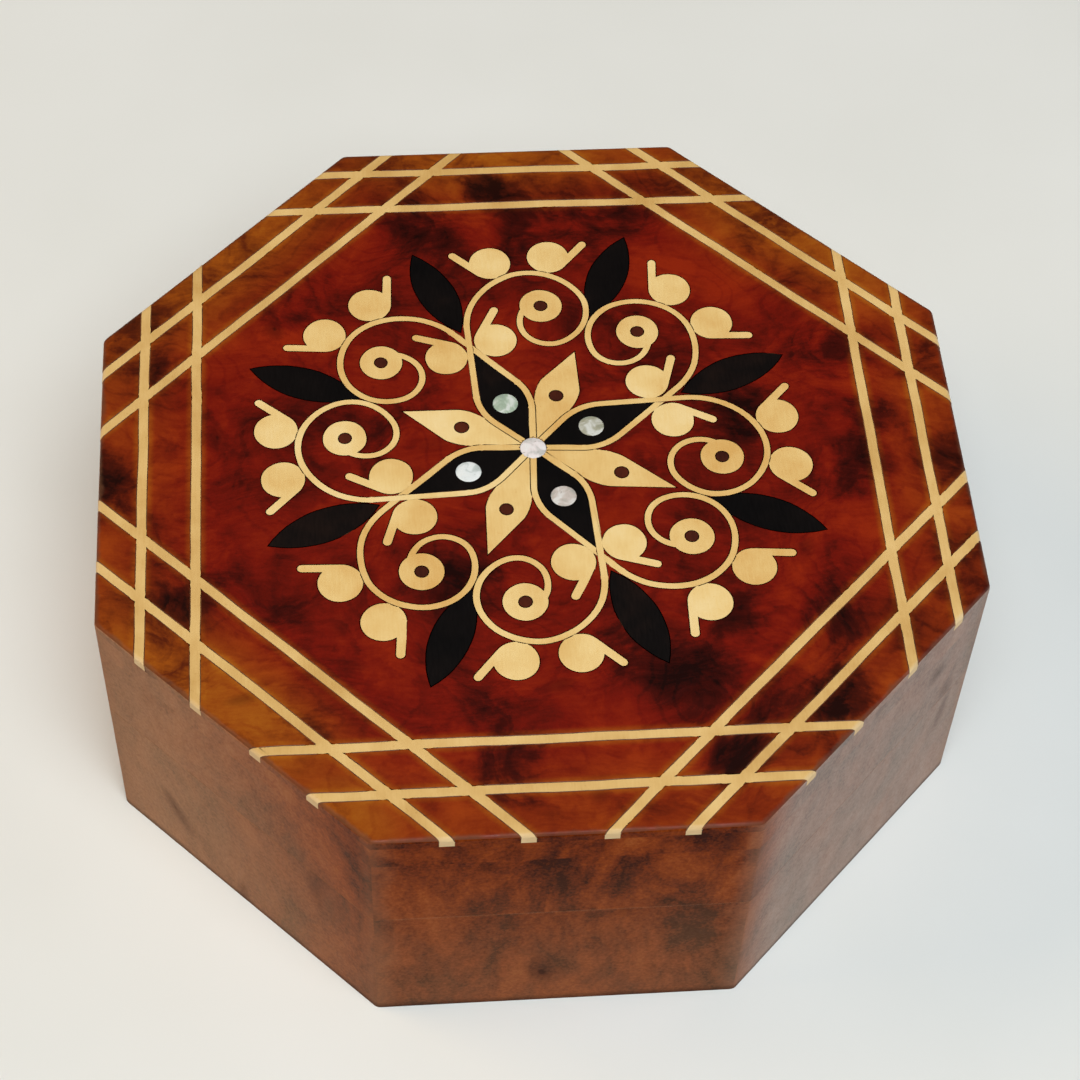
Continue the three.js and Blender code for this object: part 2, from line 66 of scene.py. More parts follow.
# %% [markdown]
# ## Sizes
# A box maker works in millimetres, so the sizes are kept in millimetres and turned to metres only when a mesh
# is made. They are the sizes of the measured model, so the fine pieces made here land on its solids.

# %% Sizes of the box
HEIGHT = 45.0
JOINT_HEIGHT = 25.0
TOP_THICKNESS = 6.0
INLAY_DEPTH = 1.6
PEARL_DEPTH = 1.2
FLATS = (cad_box[1].x - cad_box[0].x) / MM
CORNER_ROUND = 1.4
TOP_ROUND = 0.6
BORDER_SHIFT = complex(0.4, 1.4)
ROSETTE_SHIFT = complex(0, 2.1)
HALF_CORNER = 22.5
FIRST_SPRAY = HALF_CORNER
EDGE_MARGIN, STRING_SPACING = 5.6, 7.3
STRING_ROWS = (FLATS / 2 - EDGE_MARGIN - STRING_SPACING, FLATS / 2 - EDGE_MARGIN)


def polar(distance, degrees):
    """A place in the plane of the lid, as a complex number."""
    return cmath.rect(distance, math.radians(degrees))


def new_object(name, data):
    made = bpy.data.objects.new(name, data)
    bpy.context.scene.collection.objects.link(made)
    return made


print("across the flats", round(FLATS, 2), "mm")

# %% [markdown]
# ## Camera
# The photograph looks down at about 53 degrees from less than half a metre away, with the box turned a few
# degrees and the picture tilted a little. The eight corners of the top fix the place of the camera, so it is
# written as the turn, tilt and roll that carry the box into the camera's own axes. The last step is a shift,
# counted in widths of the box, in round figures.

# %% Camera
LENS, SENSOR = 88.7, 36.0
CAMERA_TILT, BOX_TURN, CAMERA_ROLL = -36.62, 6.33, -2.76
BOX_WIDTH = 0.12
CAMERA_SHIFT = Vector((-0.0066, 0.0933, -3.0788)) * BOX_WIDTH


def turn(degrees, axis):
    return Matrix.Rotation(math.radians(degrees), 4, axis)


camera = new_object("camera", bpy.data.cameras.new("camera"))
camera.data.lens, camera.data.sensor_width = LENS, SENSOR
camera.data.clip_start, camera.data.clip_end = 0.01, 20
into_camera = Matrix.Translation(CAMERA_SHIFT)
for degrees, axis in ((CAMERA_ROLL, "Z"), (CAMERA_TILT, "X"), (BOX_TURN, "Z")):
    into_camera = into_camera @ turn(degrees, axis)
camera.matrix_world = Matrix.Translation((0, 0, HEIGHT * MM)) @ into_camera.inverted()
bpy.context.scene.camera = camera
print("camera at", [round(v, 3) for v in camera.matrix_world.translation], "m")

# %% [markdown]
# ## Nodes and colours
# Every finish below is a small tree of shader nodes. One helper adds a node, sets its options and fills its
# inputs with numbers, colours or links. Colours are written as a colour picker gives them, and one function
# turns them into the linear light that Blender computes with.


# %% Node helper and colours
SMOOTH = {"interpolation_type": "SMOOTHSTEP"}


def linear(hex_colour):
    """An sRGB hex colour as linear red, green, blue and alpha."""
    parts = [int(hex_colour[i : i + 2], 16) / 255 for i in (1, 3, 5)]
    return tuple(c / 12.92 if c <= 0.04045 else ((c + 0.055) / 1.055) ** 2.4 for c in parts) + (1.0,)


def fill(tree, node, inputs):
    """Fills inputs with values, hex colours, sockets or nodes. A node stands for its first output in use."""
    for socket, source in inputs.items():
        if isinstance(source, bpy.types.Node):
            source = next(s for s in source.outputs if s.enabled)
        if isinstance(source, bpy.types.NodeSocket):
            tree.links.new(source, node.inputs[socket])
        else:
            node.inputs[socket].default_value = linear(source) if isinstance(source, str) else source


def add(tree, kind, inputs=None, stops=(), **settings):
    """Adds a node of a kind: its type, without ShaderNode in front for a shader node. Stops are a ramp's
    places and colours, and settings are the node's own options."""
    node = tree.nodes.new(kind if "Node" in kind else "ShaderNode" + kind)
    for name, value in settings.items():
        setattr(node, name, value)
    fill(tree, node, inputs or {})
    for i, (place, colour) in enumerate(stops):
        element = node.color_ramp.elements[i] if i < 2 else node.color_ramp.elements.new(place)
        element.position, element.color = place, linear(colour)
    return node


def summed(tree, *shares):
    """A sum of noises, places and numbers, each times its share."""
    total = 0.0
    for part, share in shares:
        total = add(tree, "Math", {0: part, 1: share, 2: total}, operation="MULTIPLY_ADD")
    return total


def layered(tree, colour, *layers):
    """Colours mixed over a first one, each by its own amount."""
    for amount, over in layers:
        colour = add(tree, "Mix", {0: amount, 6: colour, 7: over}, data_type="RGBA")
    return colour


def new_material(name):
    """A material, its tree, its Principled shader, and a point's place in millimetres of its object."""
    material = bpy.data.materials.new(name)
    material.use_nodes = True
    tree = material.node_tree
    tree.nodes.clear()
    shader = add(tree, "BsdfPrincipled")
    add(tree, "OutputMaterial", {"Surface": shader})
    place = add(tree, "TexCoord").outputs["Object"]
    in_mm = add(tree, "VectorMath", {0: place, 1: (1 / MM,) * 3}, operation="MULTIPLY")
    return material, tree, shader, in_mm


print("a deep red in linear light:", [round(c, 3) for c in linear("#701307")[:3]])

# %% [markdown]
# ## Thuya burl
# The burl of the thuya root has no straight grain. Clouds of dark and light wood a centimetre or two wide are
# bent by eddies, fine fibres and growth lines run along the bends, and small dark knots sit in them. A slow
# noise bends the others, which makes the eddies, and knots are the middles of a few Voronoi cells.


# %% Figure of the burl
def burl_figure(tree, mm, cloud_size):
    """Clouds, mottle, fibres, growth lines and knots, each from 0 to 1."""
    eddies = add(tree, "TexNoise", {"Vector": mm, "Scale": 1 / 24, "Detail": 2.0})
    pull = add(tree, "VectorMath", {0: eddies.outputs["Color"], 1: (0.5,) * 3}, operation="SUBTRACT")
    bent = add(tree, "VectorMath", {0: pull, 1: (20.0,) * 3, 2: mm}, operation="MULTIPLY_ADD")
    clouds, mottle = (
        add(tree, "TexNoise", {"Vector": bent, "Scale": 1 / size, "Detail": detail, "Roughness": rough})
        for size, detail, rough in ((cloud_size, 5.0, 0.55), (3.0, 4.0, 0.6))
    )
    along = add(tree, "Mapping", {"Vector": bent, "Rotation": (0, 0, 0.2), "Scale": (0.12, 1.0, 0.6)})
    fibres = add(tree, "TexNoise", {"Vector": along, "Scale": 1 / 0.6, "Detail": 4.0, "Roughness": 0.7})
    waver = summed(tree, (eddies, 95.0), (mottle, 7.0))
    wave = add(tree, "Math", {0: waver}, operation="SINE")
    lines = add(tree, "MapRange", {"Value": wave, "From Min": 0.55, "From Max": 1.0}, **SMOOTH)
    cells = add(tree, "TexVoronoi", {"Vector": bent, "Scale": 1 / 9})
    some = add(tree, "Math", {0: cells.outputs["Color"], 1: 0.5}, operation="GREATER_THAN")
    heart = add(tree, "MapRange", {"Value": cells, "From Min": 0.09, "From Max": 0.03, "To Max": 0.8})
    halo = add(tree, "MapRange", {"Value": cells, "From Min": 0.3, "From Max": 0.04, "To Max": 0.4}, **SMOOTH)
    dark = add(tree, "Math", {0: heart, 1: halo}, operation="MAXIMUM")
    return clouds, mottle, fibres, lines, add(tree, "Math", {0: dark, 1: some}, operation="MULTIPLY")


def octagon_reach(tree, mm):
    """How far out a point is, measured across the flats: the same number all along an octagon."""
    folded = add(tree, "VectorMath", {0: mm}, operation="ABSOLUTE")
    x, y, _ = add(tree, "SeparateXYZ", {0: folded}).outputs
    slant = summed(tree, (x, math.sqrt(0.5)), (y, math.sqrt(0.5)))
    straight = add(tree, "Math", {0: x, 1: y}, operation="MAXIMUM")
    return add(tree, "Math", {0: straight, 1: slant}, operation="MAXIMUM")


def string_distance(tree, mm):
    """How far a point of the lid is from the middle of the nearest border string."""
    nearest = 100.0
    for bearing in range(0, 360, 45):
        way = polar(1, bearing)
        out = add(tree, "VectorMath", {0: mm, 1: (way.real, way.imag, 0)}, operation="DOT_PRODUCT")
        for row in STRING_ROWS:
            past = (BORDER_SHIFT * way.conjugate()).real + row
            off = add(tree, "Math", {0: out.outputs["Value"], 1: past}, operation="SUBTRACT")
            away = add(tree, "Math", {0: off}, operation="ABSOLUTE")
            nearest = add(tree, "Math", {0: away, 1: nearest}, operation="MINIMUM")
    return nearest


print("burl figure ready")

# %% [markdown]
# The lid has been stained a deep red and varnished. Between the strings and the rim the stain is rubbed thin,
# so the wood turns to an orange brown there, most of all at the back and on the left. It is thin along the
# strings too, where they were scraped flush. Soft dark clouds lie where the burl is closest. Each has a rough
# place and radius, and noise frays its edge.

# %% Stained burl of the lid
DARK_CLOUDS = [
    (-11, 43, 7), (0, 44, 5), (14, 40, 6), (18, -36, 8), (24, -27, 6), (37, -30, 6), (22, -50, 5),
    (40, -40, 5), (-8, -50, 6), (-20, -53, 4), (45, 18, 6), (46, -4, 6), (52, 8, 6), (52, -30, 6),
    (34, 40, 5), (57, -3, 6), (-50, 4, 6), (-51, 20, 4), (-57, 0, 5), (-47, -22, 5), (-34, 27, 4),
    (-32, -43, 3), (-16, 8, 5), (12, 12, 5), (-4, 53, 3), (-57, 27, 4), (30, 8, 4), (-10, -22, 5),
    (58, -18, 6), (34, -56, 5), (49, -42, 6), (56, 12, 5),
]
RUBBED_PATCHES = [(-45, 42, 26), (-4, 62, 22), (42, 46, 22), (-50, -34, 16), (-36, -40, 12), (-28, -56, 8)]


def patches(tree, mm, ragged, places):
    """1 inside soft ragged patches, each a place and a radius in millimetres, and 0 away from them."""
    total = 0.0
    for *place, radius in places:
        away = add(tree, "VectorMath", {0: mm, 1: place}, operation="DISTANCE")
        frayed = add(tree, "Math", {0: away, 1: ragged}, operation="ADD")
        inside = add(tree, "MapRange", {"Value": frayed, "From Min": radius * 1.5, "From Max": 0.0}, **SMOOTH)
        total = add(tree, "Math", {0: inside, 1: total}, operation="MAXIMUM")
    return total


def stained_burl():
    material, tree, shader, mm = new_material("thuya_burl_stained_red")
    clouds, mottle, fibres, lines, knots = burl_figure(tree, mm, 14.0)
    reach = octagon_reach(tree, mm)
    ragged = summed(tree, (clouds, 14.0), (mottle, 5.0), (1.0, -9.5))
    dark, thin = (
        patches(tree, mm, ragged, [(x, y, HEIGHT, radius) for x, y, radius in places])
        for places in (DARK_CLOUDS, RUBBED_PATCHES)
    )
    pores = add(tree, "TexNoise", {"Vector": mm, "Scale": 1 / 0.35, "Detail": 2.0, "Roughness": 0.6})
    tone = summed(
        tree, (clouds, 1.0), (mottle, 0.27), (fibres, 0.2), (lines, -0.05), (dark, -0.2), (pores, 0.11)
    )
    stops = (0.45, 0.62, 0.8, 1.0)
    red = add(tree, "ValToRGB", {"Fac": tone}, zip(stops, ("#1c0503", "#430b05", "#701307", "#8c2309")))
    orange = add(tree, "ValToRGB", {"Fac": tone}, zip(stops, ("#2c0f05", "#622509", "#94480e", "#aa6216")))
    outwards = summed(tree, (reach, 1.0), (ragged, 0.6))
    rim = add(tree, "MapRange", {"Value": outwards, "From Min": 44.0, "From Max": 62.0}, **SMOOTH)
    where = summed(tree, (thin, 0.9), (1.0, 0.25))
    at_rim = add(tree, "Math", {0: rim, 1: where}, operation="MULTIPLY")
    off = string_distance(tree, mm)
    scraped = add(tree, "MapRange", {"Value": off, "From Min": 1.7, "From Max": 0.7, "To Max": 0.4}, **SMOOTH)
    rubbed = add(tree, "Math", {0: at_rim, 1: scraped}, operation="ADD", use_clamp=True)
    edge = {"Value": summed(tree, (reach, 1.0), (mottle, 2.0)), "From Min": 60.2, "From Max": 61.1}
    worn = add(tree, "MapRange", {**edge, "To Max": 0.75}, **SMOOTH)
    fill(tree, shader, {
        "Base Color": layered(tree, red, (rubbed, orange), (worn, "#5a351f"), (knots, "#1c0603")),
        "Roughness": summed(tree, (fibres, 0.15), (worn, 0.4), (1.0, 0.3)),
        "Specular IOR Level": 0.2,
        "Normal": add(tree, "Bump", {"Strength": 0.15, "Distance": 0.05 * MM, "Height": fibres}),
    })
    return material


thuya_top = stained_burl()
print("stained burl with", len(thuya_top.node_tree.nodes), "nodes")

# %% [markdown]
# The walls are the same wood without the red stain. Its figure stands upright here, under a dull varnish.
# Grainy pale veils on the walls to the left and the right are painted reflection of the bright table and
# lamps, and one more veil makes the walls paler towards the foot. A little sheen adds to them at low angles.
# Every wall was cut from its own spot of the root, so the figure jumps at the joint and at the mitres. The
# corners are rubbed pale and the joint's edges a little too. A painted dark band along the foot stands for
# the contact shadow there. Inside, the wood is bare.


# %% Brown burl of the walls, and bare wood inside
FRONT_CLOUDS = [
    (-1, 33, 6), (-20, 38, 7), (-17, 7, 5), (-2, 11, 5), (21, 42, 5), (9, 36, 3), (17, 23, 4), (-8, 29, 4),
]
UPRIGHT = 0.55
# Each veil is an axis, where it starts and where it is full, its share and its colour. The one along Z makes
# the walls paler towards the foot, and the two along X are painted reflection on the right and left walls.
FOOT_AND_REFLECTION_VEILS = [
    ("Z", 46.0, 0.0, 0.3, "#aa7a56"), ("X", 22.0, 31.0, 0.6, "#b0a498"), ("X", -18.0, -56.0, 0.62, "#b48a68"),
]


def plain_burl(name, stops, veils_and_sheen):
    material, tree, shader, mm = new_material(name)
    place = add(tree, "SeparateXYZ", {0: mm}).outputs
    own = add(tree, "Attribute", attribute_name="shade").outputs["Fac"]
    jump = add(tree, "VectorMath", {0: (60.0, 40.0, -50.0), "Scale": own}, operation="SCALE")
    tall = add(tree, "VectorMath", {0: mm, 1: (1.0, 1.0, UPRIGHT)}, operation="MULTIPLY")
    cut = add(tree, "VectorMath", {0: tall, 1: jump}, operation="ADD")
    clouds, mottle, fibres, lines, knots = burl_figure(tree, cut, 10.0)
    pores = add(tree, "TexNoise", {"Vector": mm, "Scale": 1 / 0.45, "Detail": 3.0, "Roughness": 0.6})
    ragged = summed(tree, (clouds, 10.0), (mottle, 4.0), (1.0, -7.0))
    places = [(x, -FLATS / 2, z * UPRIGHT, radius) for x, z, radius in FRONT_CLOUDS]
    dark = patches(tree, tall, ragged, places)
    tone = summed(
        tree, (clouds, 0.55), (mottle, 0.28), (fibres, 0.03), (lines, -0.03), (pores, 0.3), (dark, -0.1),
        (own, 0.05), (1.0, -0.02),
    )
    uneven = summed(tree, (pores, 1.0), (mottle, 0.6), (1.0, 0.2))
    layers = []
    # Pale colour mixed in: painted reflection on the left and right walls, and a paler foot.
    for axis, near, far, share, haze in FOOT_AND_REFLECTION_VEILS:
        limits = {"From Min": near, "From Max": far, "To Max": share * veils_and_sheen}
        smooth = add(tree, "MapRange", {"Value": place[axis], **limits}, **SMOOTH)
        layers.append((add(tree, "Math", {0: smooth, 1: uneven}, operation="MULTIPLY"), haze))
    flat = add(tree, "VectorMath", {0: mm, 1: (1, 1, 0)}, operation="MULTIPLY")
    far = add(tree, "VectorMath", {0: flat}, operation="LENGTH")
    corner = {"Value": summed(tree, (far, 1.0), (mottle, 1.5)), "From Min": 64.4, "From Max": 65.9}
    rubbed = add(tree, "MapRange", {**corner, "To Max": 0.3}, **SMOOTH)
    level = summed(tree, (place["Z"], 1.0), (1.0, -JOINT_HEIGHT))
    joint = add(tree, "Math", {0: level}, operation="ABSOLUTE")
    lip = summed(tree, (joint, 1.0), (mottle, 0.8))
    edge = add(tree, "MapRange", {"Value": lip, "From Min": 0.75, "From Max": 0.35, "To Max": 0.1})
    worn = add(tree, "Math", {0: rubbed, 1: edge}, operation="MAXIMUM")
    # A dark band along the foot is painted contact shadow.
    foot = summed(tree, (place["Z"], 1.0), (mottle, -1.6))
    painted_foot_shadow = add(tree, "MapRange", {"Value": foot, "From Min": 0.9, "From Max": -0.6, "To Max": 0.6}, **SMOOTH)
    layers += [(worn, "#8e6a52"), (painted_foot_shadow, "#241108"), (knots, "#2a120b")]
    relief = summed(tree, (fibres, 0.2), (pores, 0.6))
    fill(tree, shader, {
        "Base Color": layered(tree, add(tree, "ValToRGB", {"Fac": tone}, stops), *layers),
        "Roughness": summed(tree, (fibres, 0.2), (worn, 0.3), (1.0, 0.42)),
        "Specular IOR Level": 0.03,
        "Sheen Weight": 0.2 * veils_and_sheen, "Sheen Roughness": 0.2, "Sheen Tint": "#f2f0ee",
        "Normal": add(tree, "Bump", {"Strength": 0.2, "Distance": 0.05 * MM, "Height": relief}),
    })
    return material


thuya_sides = plain_burl(
    "thuya_burl_brown", [(0.42, "#320e03"), (0.54, "#682708"), (0.65, "#883a0e"), (0.75, "#9a4e1d")], 0.9
)
thuya_inside = plain_burl(
    "thuya_burl_bare", [(0.42, "#6a3a20"), (0.54, "#8a5632"), (0.66, "#a06c42"), (0.76, "#ab7a50")], 0.1
)
print("wall burl with", len(thuya_sides.node_tree.nodes), "nodes")

# %% [markdown]
# ## Lemonwood, ebony and glue
# Lemonwood is a close, pale yellow wood. At this size its grain only shows as faint streaks and a few darker
# flecks. The border strings come from a slightly browner plank. Ebony is nearly black with browner streaks.
# Both were sanded flush and varnished with the lid, and rubbed dull where they reach the rim. The burl dots
# in the eyes and petals are darker than the ground. Brown glue fills the hairline round every piece.


# %% Close-grained woods
def fine_wood(name, stops, grain_size, roughness, shine):
    material, tree, shader, mm = new_material(name)
    along = add(tree, "Mapping", {"Vector": mm, "Rotation": (0, 0, 0.3), "Scale": (1.0, 0.12, 1.0)})
    grain = add(tree, "TexNoise", {"Vector": along, "Scale": 1 / grain_size, "Detail": 4.0})
    shade = add(tree, "TexNoise", {"Vector": mm, "Scale": 1 / 7, "Detail": 4.0})
    fleck = add(tree, "TexNoise", {"Vector": mm, "Scale": 1 / 0.4, "Detail": 2.0})
    pores = add(tree, "MapRange", {"Value": fleck, "From Min": 0.66, "From Max": 0.76, "To Max": -0.12})
    own = add(tree, "Attribute", attribute_name="shade").outputs["Fac"]
    tone = summed(tree, (shade, 0.8), (grain, 0.2), (pores, 1.0), (own, 0.24), (1.0, -0.12))
    edge = summed(tree, (octagon_reach(tree, mm), 1.0), (shade, 0.8))
    worn = add(tree, "MapRange", {"Value": edge, "From Min": 59.7, "From Max": 60.5, "To Max": 0.5}, **SMOOTH)
    fill(tree, shader, {
        "Base Color": layered(tree, add(tree, "ValToRGB", {"Fac": tone}, stops), (worn, "#d8bf9c")),
        "Roughness": summed(tree, (grain, 0.15), (worn, 0.3), (1.0, roughness)),
        "Specular IOR Level": shine,
        "Normal": add(tree, "Bump", {"Strength": 0.15, "Distance": 0.03 * MM, "Height": grain}),
    })
    return material


def mottled(name, size, detail, stops, roughness):
    """A dull finish between two colours."""
    material, tree, shader, mm = new_material(name)
    specks = add(tree, "TexNoise", {"Vector": mm, "Scale": 1 / size, "Detail": detail})
    fill(tree, shader, {"Base Color": add(tree, "ValToRGB", {"Fac": specks}, stops), "Roughness": roughness})
    return material


lemonwood = fine_wood(
    "lemonwood", [(0.25, "#d9a860"), (0.45, "#e5bd78"), (0.6, "#edca88"), (0.8, "#f3d69d")], 0.3, 0.4, 0.3
)
stringing = fine_wood(
    "lemonwood_stringing", [(0.25, "#c99b58"), (0.45, "#d9af6c"), (0.6, "#e3bb79"), (0.8, "#e9c687")],
    0.3, 0.4, 0.3,
)
ebony = fine_wood("ebony", [(0.3, "#060404"), (0.55, "#0d0807"), (0.75, "#1a0f0b")], 0.25, 0.35, 0.2)
dot_wood = fine_wood("thuya_burl_dots", [(0.3, "#2c110b"), (0.5, "#451b0f"), (0.7, "#5e2411")], 0.3, 0.4, 0.2)
glue = mottled("brown_hide_glue", 1.5, 2.0, [(0.3, "#3c1a0a"), (0.7, "#7d4a20")], 0.6)
print("inlay materials", lemonwood.name, ebony.name, glue.name)

# %% [markdown]
# ## Mother-of-pearl, brass and felt
# Mother-of-pearl is a stack of thin layers. Its milky white breaks into faint green and pink bands, and a
# thin film over it keeps a changing sheen. The hinges are stamped brass, brown in patches where it has aged.
# The floor is lined with wool felt, whose fibres lie every way.


# %% Mother-of-pearl
def mother_of_pearl():
    material, tree, shader, mm = new_material("mother_of_pearl")
    tint = add(tree, "Attribute", attribute_name="tint").outputs["Fac"]
    stops = [(0.1, "#a6b59f"), (0.35, "#a49f88"), (0.6, "#c9bab0"), (0.8, "#e6e8e6"), (0.95, "#ecdfdc")]
    bands = add(tree, "TexNoise", {"Vector": mm, "Scale": 1 / 1.8, "Detail": 2.0, "Distortion": 0.8})
    layers = add(tree, "TexNoise", {"Vector": mm, "Scale": 1 / 0.4, "Detail": 3.0, "Distortion": 0.6})
    veils = []
    for figure, low, high, share, veil in (
        (bands, 0.45, 0.65, 0.6, "#efeeea"),
        (bands, 0.5, 0.32, 0.5, "#8d9a90"),
        (layers, 0.62, 0.74, 0.5, "#8b7a70"),
    ):
        limits = {"From Min": low, "From Max": high, "To Max": share}
        veils.append((add(tree, "MapRange", {"Value": figure, **limits}, **SMOOTH), veil))
    fill(tree, shader, {
        "Base Color": layered(tree, add(tree, "ValToRGB", {"Fac": tint}, stops), *veils),
        "Roughness": summed(tree, (layers, 0.3), (1.0, 0.15)), "IOR": 1.57,
        "Thin Film Thickness": 330.0, "Thin Film IOR": 1.5,
        "Normal": add(tree, "Bump", {"Strength": 0.3, "Distance": 0.04 * MM, "Height": layers}),
    })
    return material


pearl = mother_of_pearl()
print("mother-of-pearl ready")


# %% Brass and felt
def brass_sheet():
    material, tree, shader, mm = new_material("stamped_brass")
    scuffs = add(tree, "TexNoise", {"Vector": mm, "Scale": 1 / 0.8, "Detail": 5.0})
    stain = add(tree, "TexNoise", {"Vector": mm, "Scale": 1 / 5, "Detail": 3.0})
    tone = summed(tree, (scuffs, 0.5), (stain, 0.5))
    colour = add(tree, "ValToRGB", {"Fac": tone}, [(0.35, "#6e5222"), (0.5, "#a8823a"), (0.65, "#cfa857")])
    fill(tree, shader, {
        "Base Color": colour, "Metallic": 1.0,
        "Roughness": add(tree, "MapRange", {"Value": tone, "To Min": 0.55, "To Max": 0.15}),
        "Normal": add(tree, "Bump", {"Strength": 0.2, "Distance": 0.02 * MM, "Height": scuffs}),
    })
    return material


def wool_felt():
    material, tree, shader, mm = new_material("wool_felt")
    fibres = add(tree, "TexNoise", {"Vector": mm, "Scale": 1 / 0.25, "Detail": 4.0, "Distortion": 3.0})
    tufts = add(tree, "TexNoise", {"Vector": mm, "Scale": 1 / 3.5, "Detail": 3.0})
    colour = add(
        tree, "ValToRGB", {"Fac": summed(tree, (fibres, 0.8), (tufts, 0.35))},
        [(0.4, "#12281b"), (0.58, "#1f3f2b"), (0.75, "#2f5940")],
    )
    fill(tree, shader, {
        "Base Color": colour, "Roughness": 0.95, "Sheen Weight": 0.4, "Sheen Roughness": 0.4,
        "Normal": add(tree, "Bump", {"Strength": 0.8, "Distance": 0.15 * MM, "Height": fibres}),
    })
    return material


brass = brass_sheet()
felt = wool_felt()
print("brass and felt ready")

# %% [markdown]
# ## Drawing the marquetry
# The pattern is a compass drawing, so it is drawn again here with finer steps than the solids have. A point
# of the plane is a complex number, which makes a turn a multiplication and a mirror image a conjugate. Lines
# are straight runs and arcs, and a string is a line given a width.

# %% Plane drawing
ARC_STEP, CORNER_STEPS = 6.0, 6


def mirrored(points):
    return [p.conjugate() for p in reversed(points)]


def circle(centre, radius, steps):
    return [centre + polar(radius, 360 * i / steps) for i in range(steps)]


def drawn(start, heading, moves):
    """Straight runs (length,) and arcs to the left (radius, sweep), one after the other."""
    points, facing = [start], heading
    for move in moves:
        if len(move) == 1:
            points.append(points[-1] + polar(move[0], facing))
            continue
        radius, sweep = move
        centre = points[-1] + polar(radius, facing + 90)
        steps = math.ceil(sweep / ARC_STEP)
        points += [centre + polar(radius, facing - 90 + sweep * i / steps) for i in range(1, steps + 1)]
        facing += sweep
    return points


def side_of(line, distance):
    """The line moved to its right, mitred at each point."""
    units = [(b - a) / abs(b - a) for a, b in zip(line, line[1:])]
    pairs = zip([units[0], *units], [*units, units[-1]])
    return [p - 1j * distance * (a + b) / (1 + (a * b.conjugate()).real) for p, (a, b) in zip(line, pairs)]


def ribbon(line, width):
    return side_of(line, width / 2) + side_of(line, -width / 2)[::-1]


def octagon(flats, rounding):
    points = []
    for corner in range(8):
        bearing = HALF_CORNER + 45 * corner
        centre = polar((flats / 2 - rounding) / math.cos(math.radians(HALF_CORNER)), bearing)
        for i in range(CORNER_STEPS + 1):
            points.append(centre + polar(rounding, bearing - HALF_CORNER + 45 * i / CORNER_STEPS))
    return points


def inset_of(point, reach):
    """How far a point of the plane is inside an octagon."""
    x, y = abs(point.real), abs(point.imag)
    return reach - max(x, y, (x + y) / math.sqrt(2))


print("octagon of", len(octagon(FLATS, CORNER_ROUND)), "points")

# %% [markdown]
# ## One spray
# A spray is two strings that start at the centre, go round a dark petal, cross at its tip and curl into two
# volutes. Each volute ends in an eye, and three comma leaves sit on each string. Only one half is drawn, and
# the other half is its mirror image.

# %% Rosette sizes
STRING_WIDTH = 1.0
CROSSING = 20.55
CROSSING_ANGLE, PETAL_OPENING, PETAL_BEND = 20.0, 25.0, 7.5
CROSSING_RUN = 3.2
VOLUTE = [(10.2, 90 - CROSSING_ANGLE), (8.1, 90), (6.5, 90), (4.1, 90), (4.6, 55)]
DISC_RADIUS, EYE_DOT_RADIUS, EYE_BEARING = 3.1, 0.95, 100.0
TAIL_WIDTH, TAIL_LENGTH = 1.3, 5.8
DISC_STEPS, DOT_STEPS = 36, 20
JOIN_OVERLAP = 0.15
INNER_SLIDE = 0.6


def petal_runs():
    """Straight out at PETAL_OPENING, round the bend and straight to the crossing."""
    opening, closing = math.radians(PETAL_OPENING), math.radians(CROSSING_ANGLE)
    along = PETAL_BEND * (math.sin(opening) + math.sin(closing))
    across = PETAL_BEND * (math.cos(opening) - math.cos(closing))
    run = CROSSING - along
    outward = (run * math.sin(closing) + across * math.cos(closing)) / math.sin(opening + closing)
    inward = (run - outward * math.cos(opening)) / math.cos(closing)
    return [(outward,), (PETAL_BEND, PETAL_OPENING + CROSSING_ANGLE), (inward,)]


def arc_centre(index):
    at, facing = CROSSING + polar(CROSSING_RUN, CROSSING_ANGLE), CROSSING_ANGLE
    for radius, sweep in VOLUTE[:index]:
        at += polar(radius, facing + 90) + polar(radius, facing + sweep - 90)
        facing += sweep
    return at + polar(VOLUTE[index][0], facing + 90)


def comma(centre, tail_turn, side):
    """A disc with a straight tail along one side. The tail's end is rounded."""
    inside = DISC_RADIUS - TAIL_WIDTH
    start = -math.degrees(math.asin(inside / DISC_RADIUS))
    steps = range(DISC_STEPS + 1)
    outline = [polar(DISC_RADIUS, start + (270 - start) * i / DISC_STEPS) for i in steps]
    tip = complex(TAIL_LENGTH - TAIL_WIDTH / 2, TAIL_WIDTH / 2 - DISC_RADIUS)
    outline += [tip + polar(TAIL_WIDTH / 2, angle) for angle in range(-90, 91, 30)]
    sided = outline if side < 0 else mirrored(outline)
    return [centre + p * polar(1, tail_turn) for p in sided]


petal_line = drawn(0j, -PETAL_OPENING, petal_runs())
scroll_line = petal_line[:-1] + drawn(complex(CROSSING), CROSSING_ANGLE, [(CROSSING_RUN,), *VOLUTE])[1:]
eye_centre = scroll_line[-1] + polar(DISC_RADIUS - STRING_WIDTH / 2, EYE_BEARING)
comma_distance = VOLUTE[1][0] + STRING_WIDTH / 2 + DISC_RADIUS - JOIN_OVERLAP
crook = (DISC_RADIUS + STRING_WIDTH / 2 - JOIN_OVERLAP) / math.cos(math.radians(CROSSING_ANGLE))
commas = [
    comma(complex(CROSSING, crook) + polar(INNER_SLIDE, 180 - CROSSING_ANGLE), 50, -1),
    comma(arc_centre(1) + polar(comma_distance, -5), -24, -1),
    comma(arc_centre(1) + polar(comma_distance, 39), 63, 1),
]
print("scroll of", len(scroll_line), "points, eye at", round(eye_centre.real, 2), round(eye_centre.imag, 2))


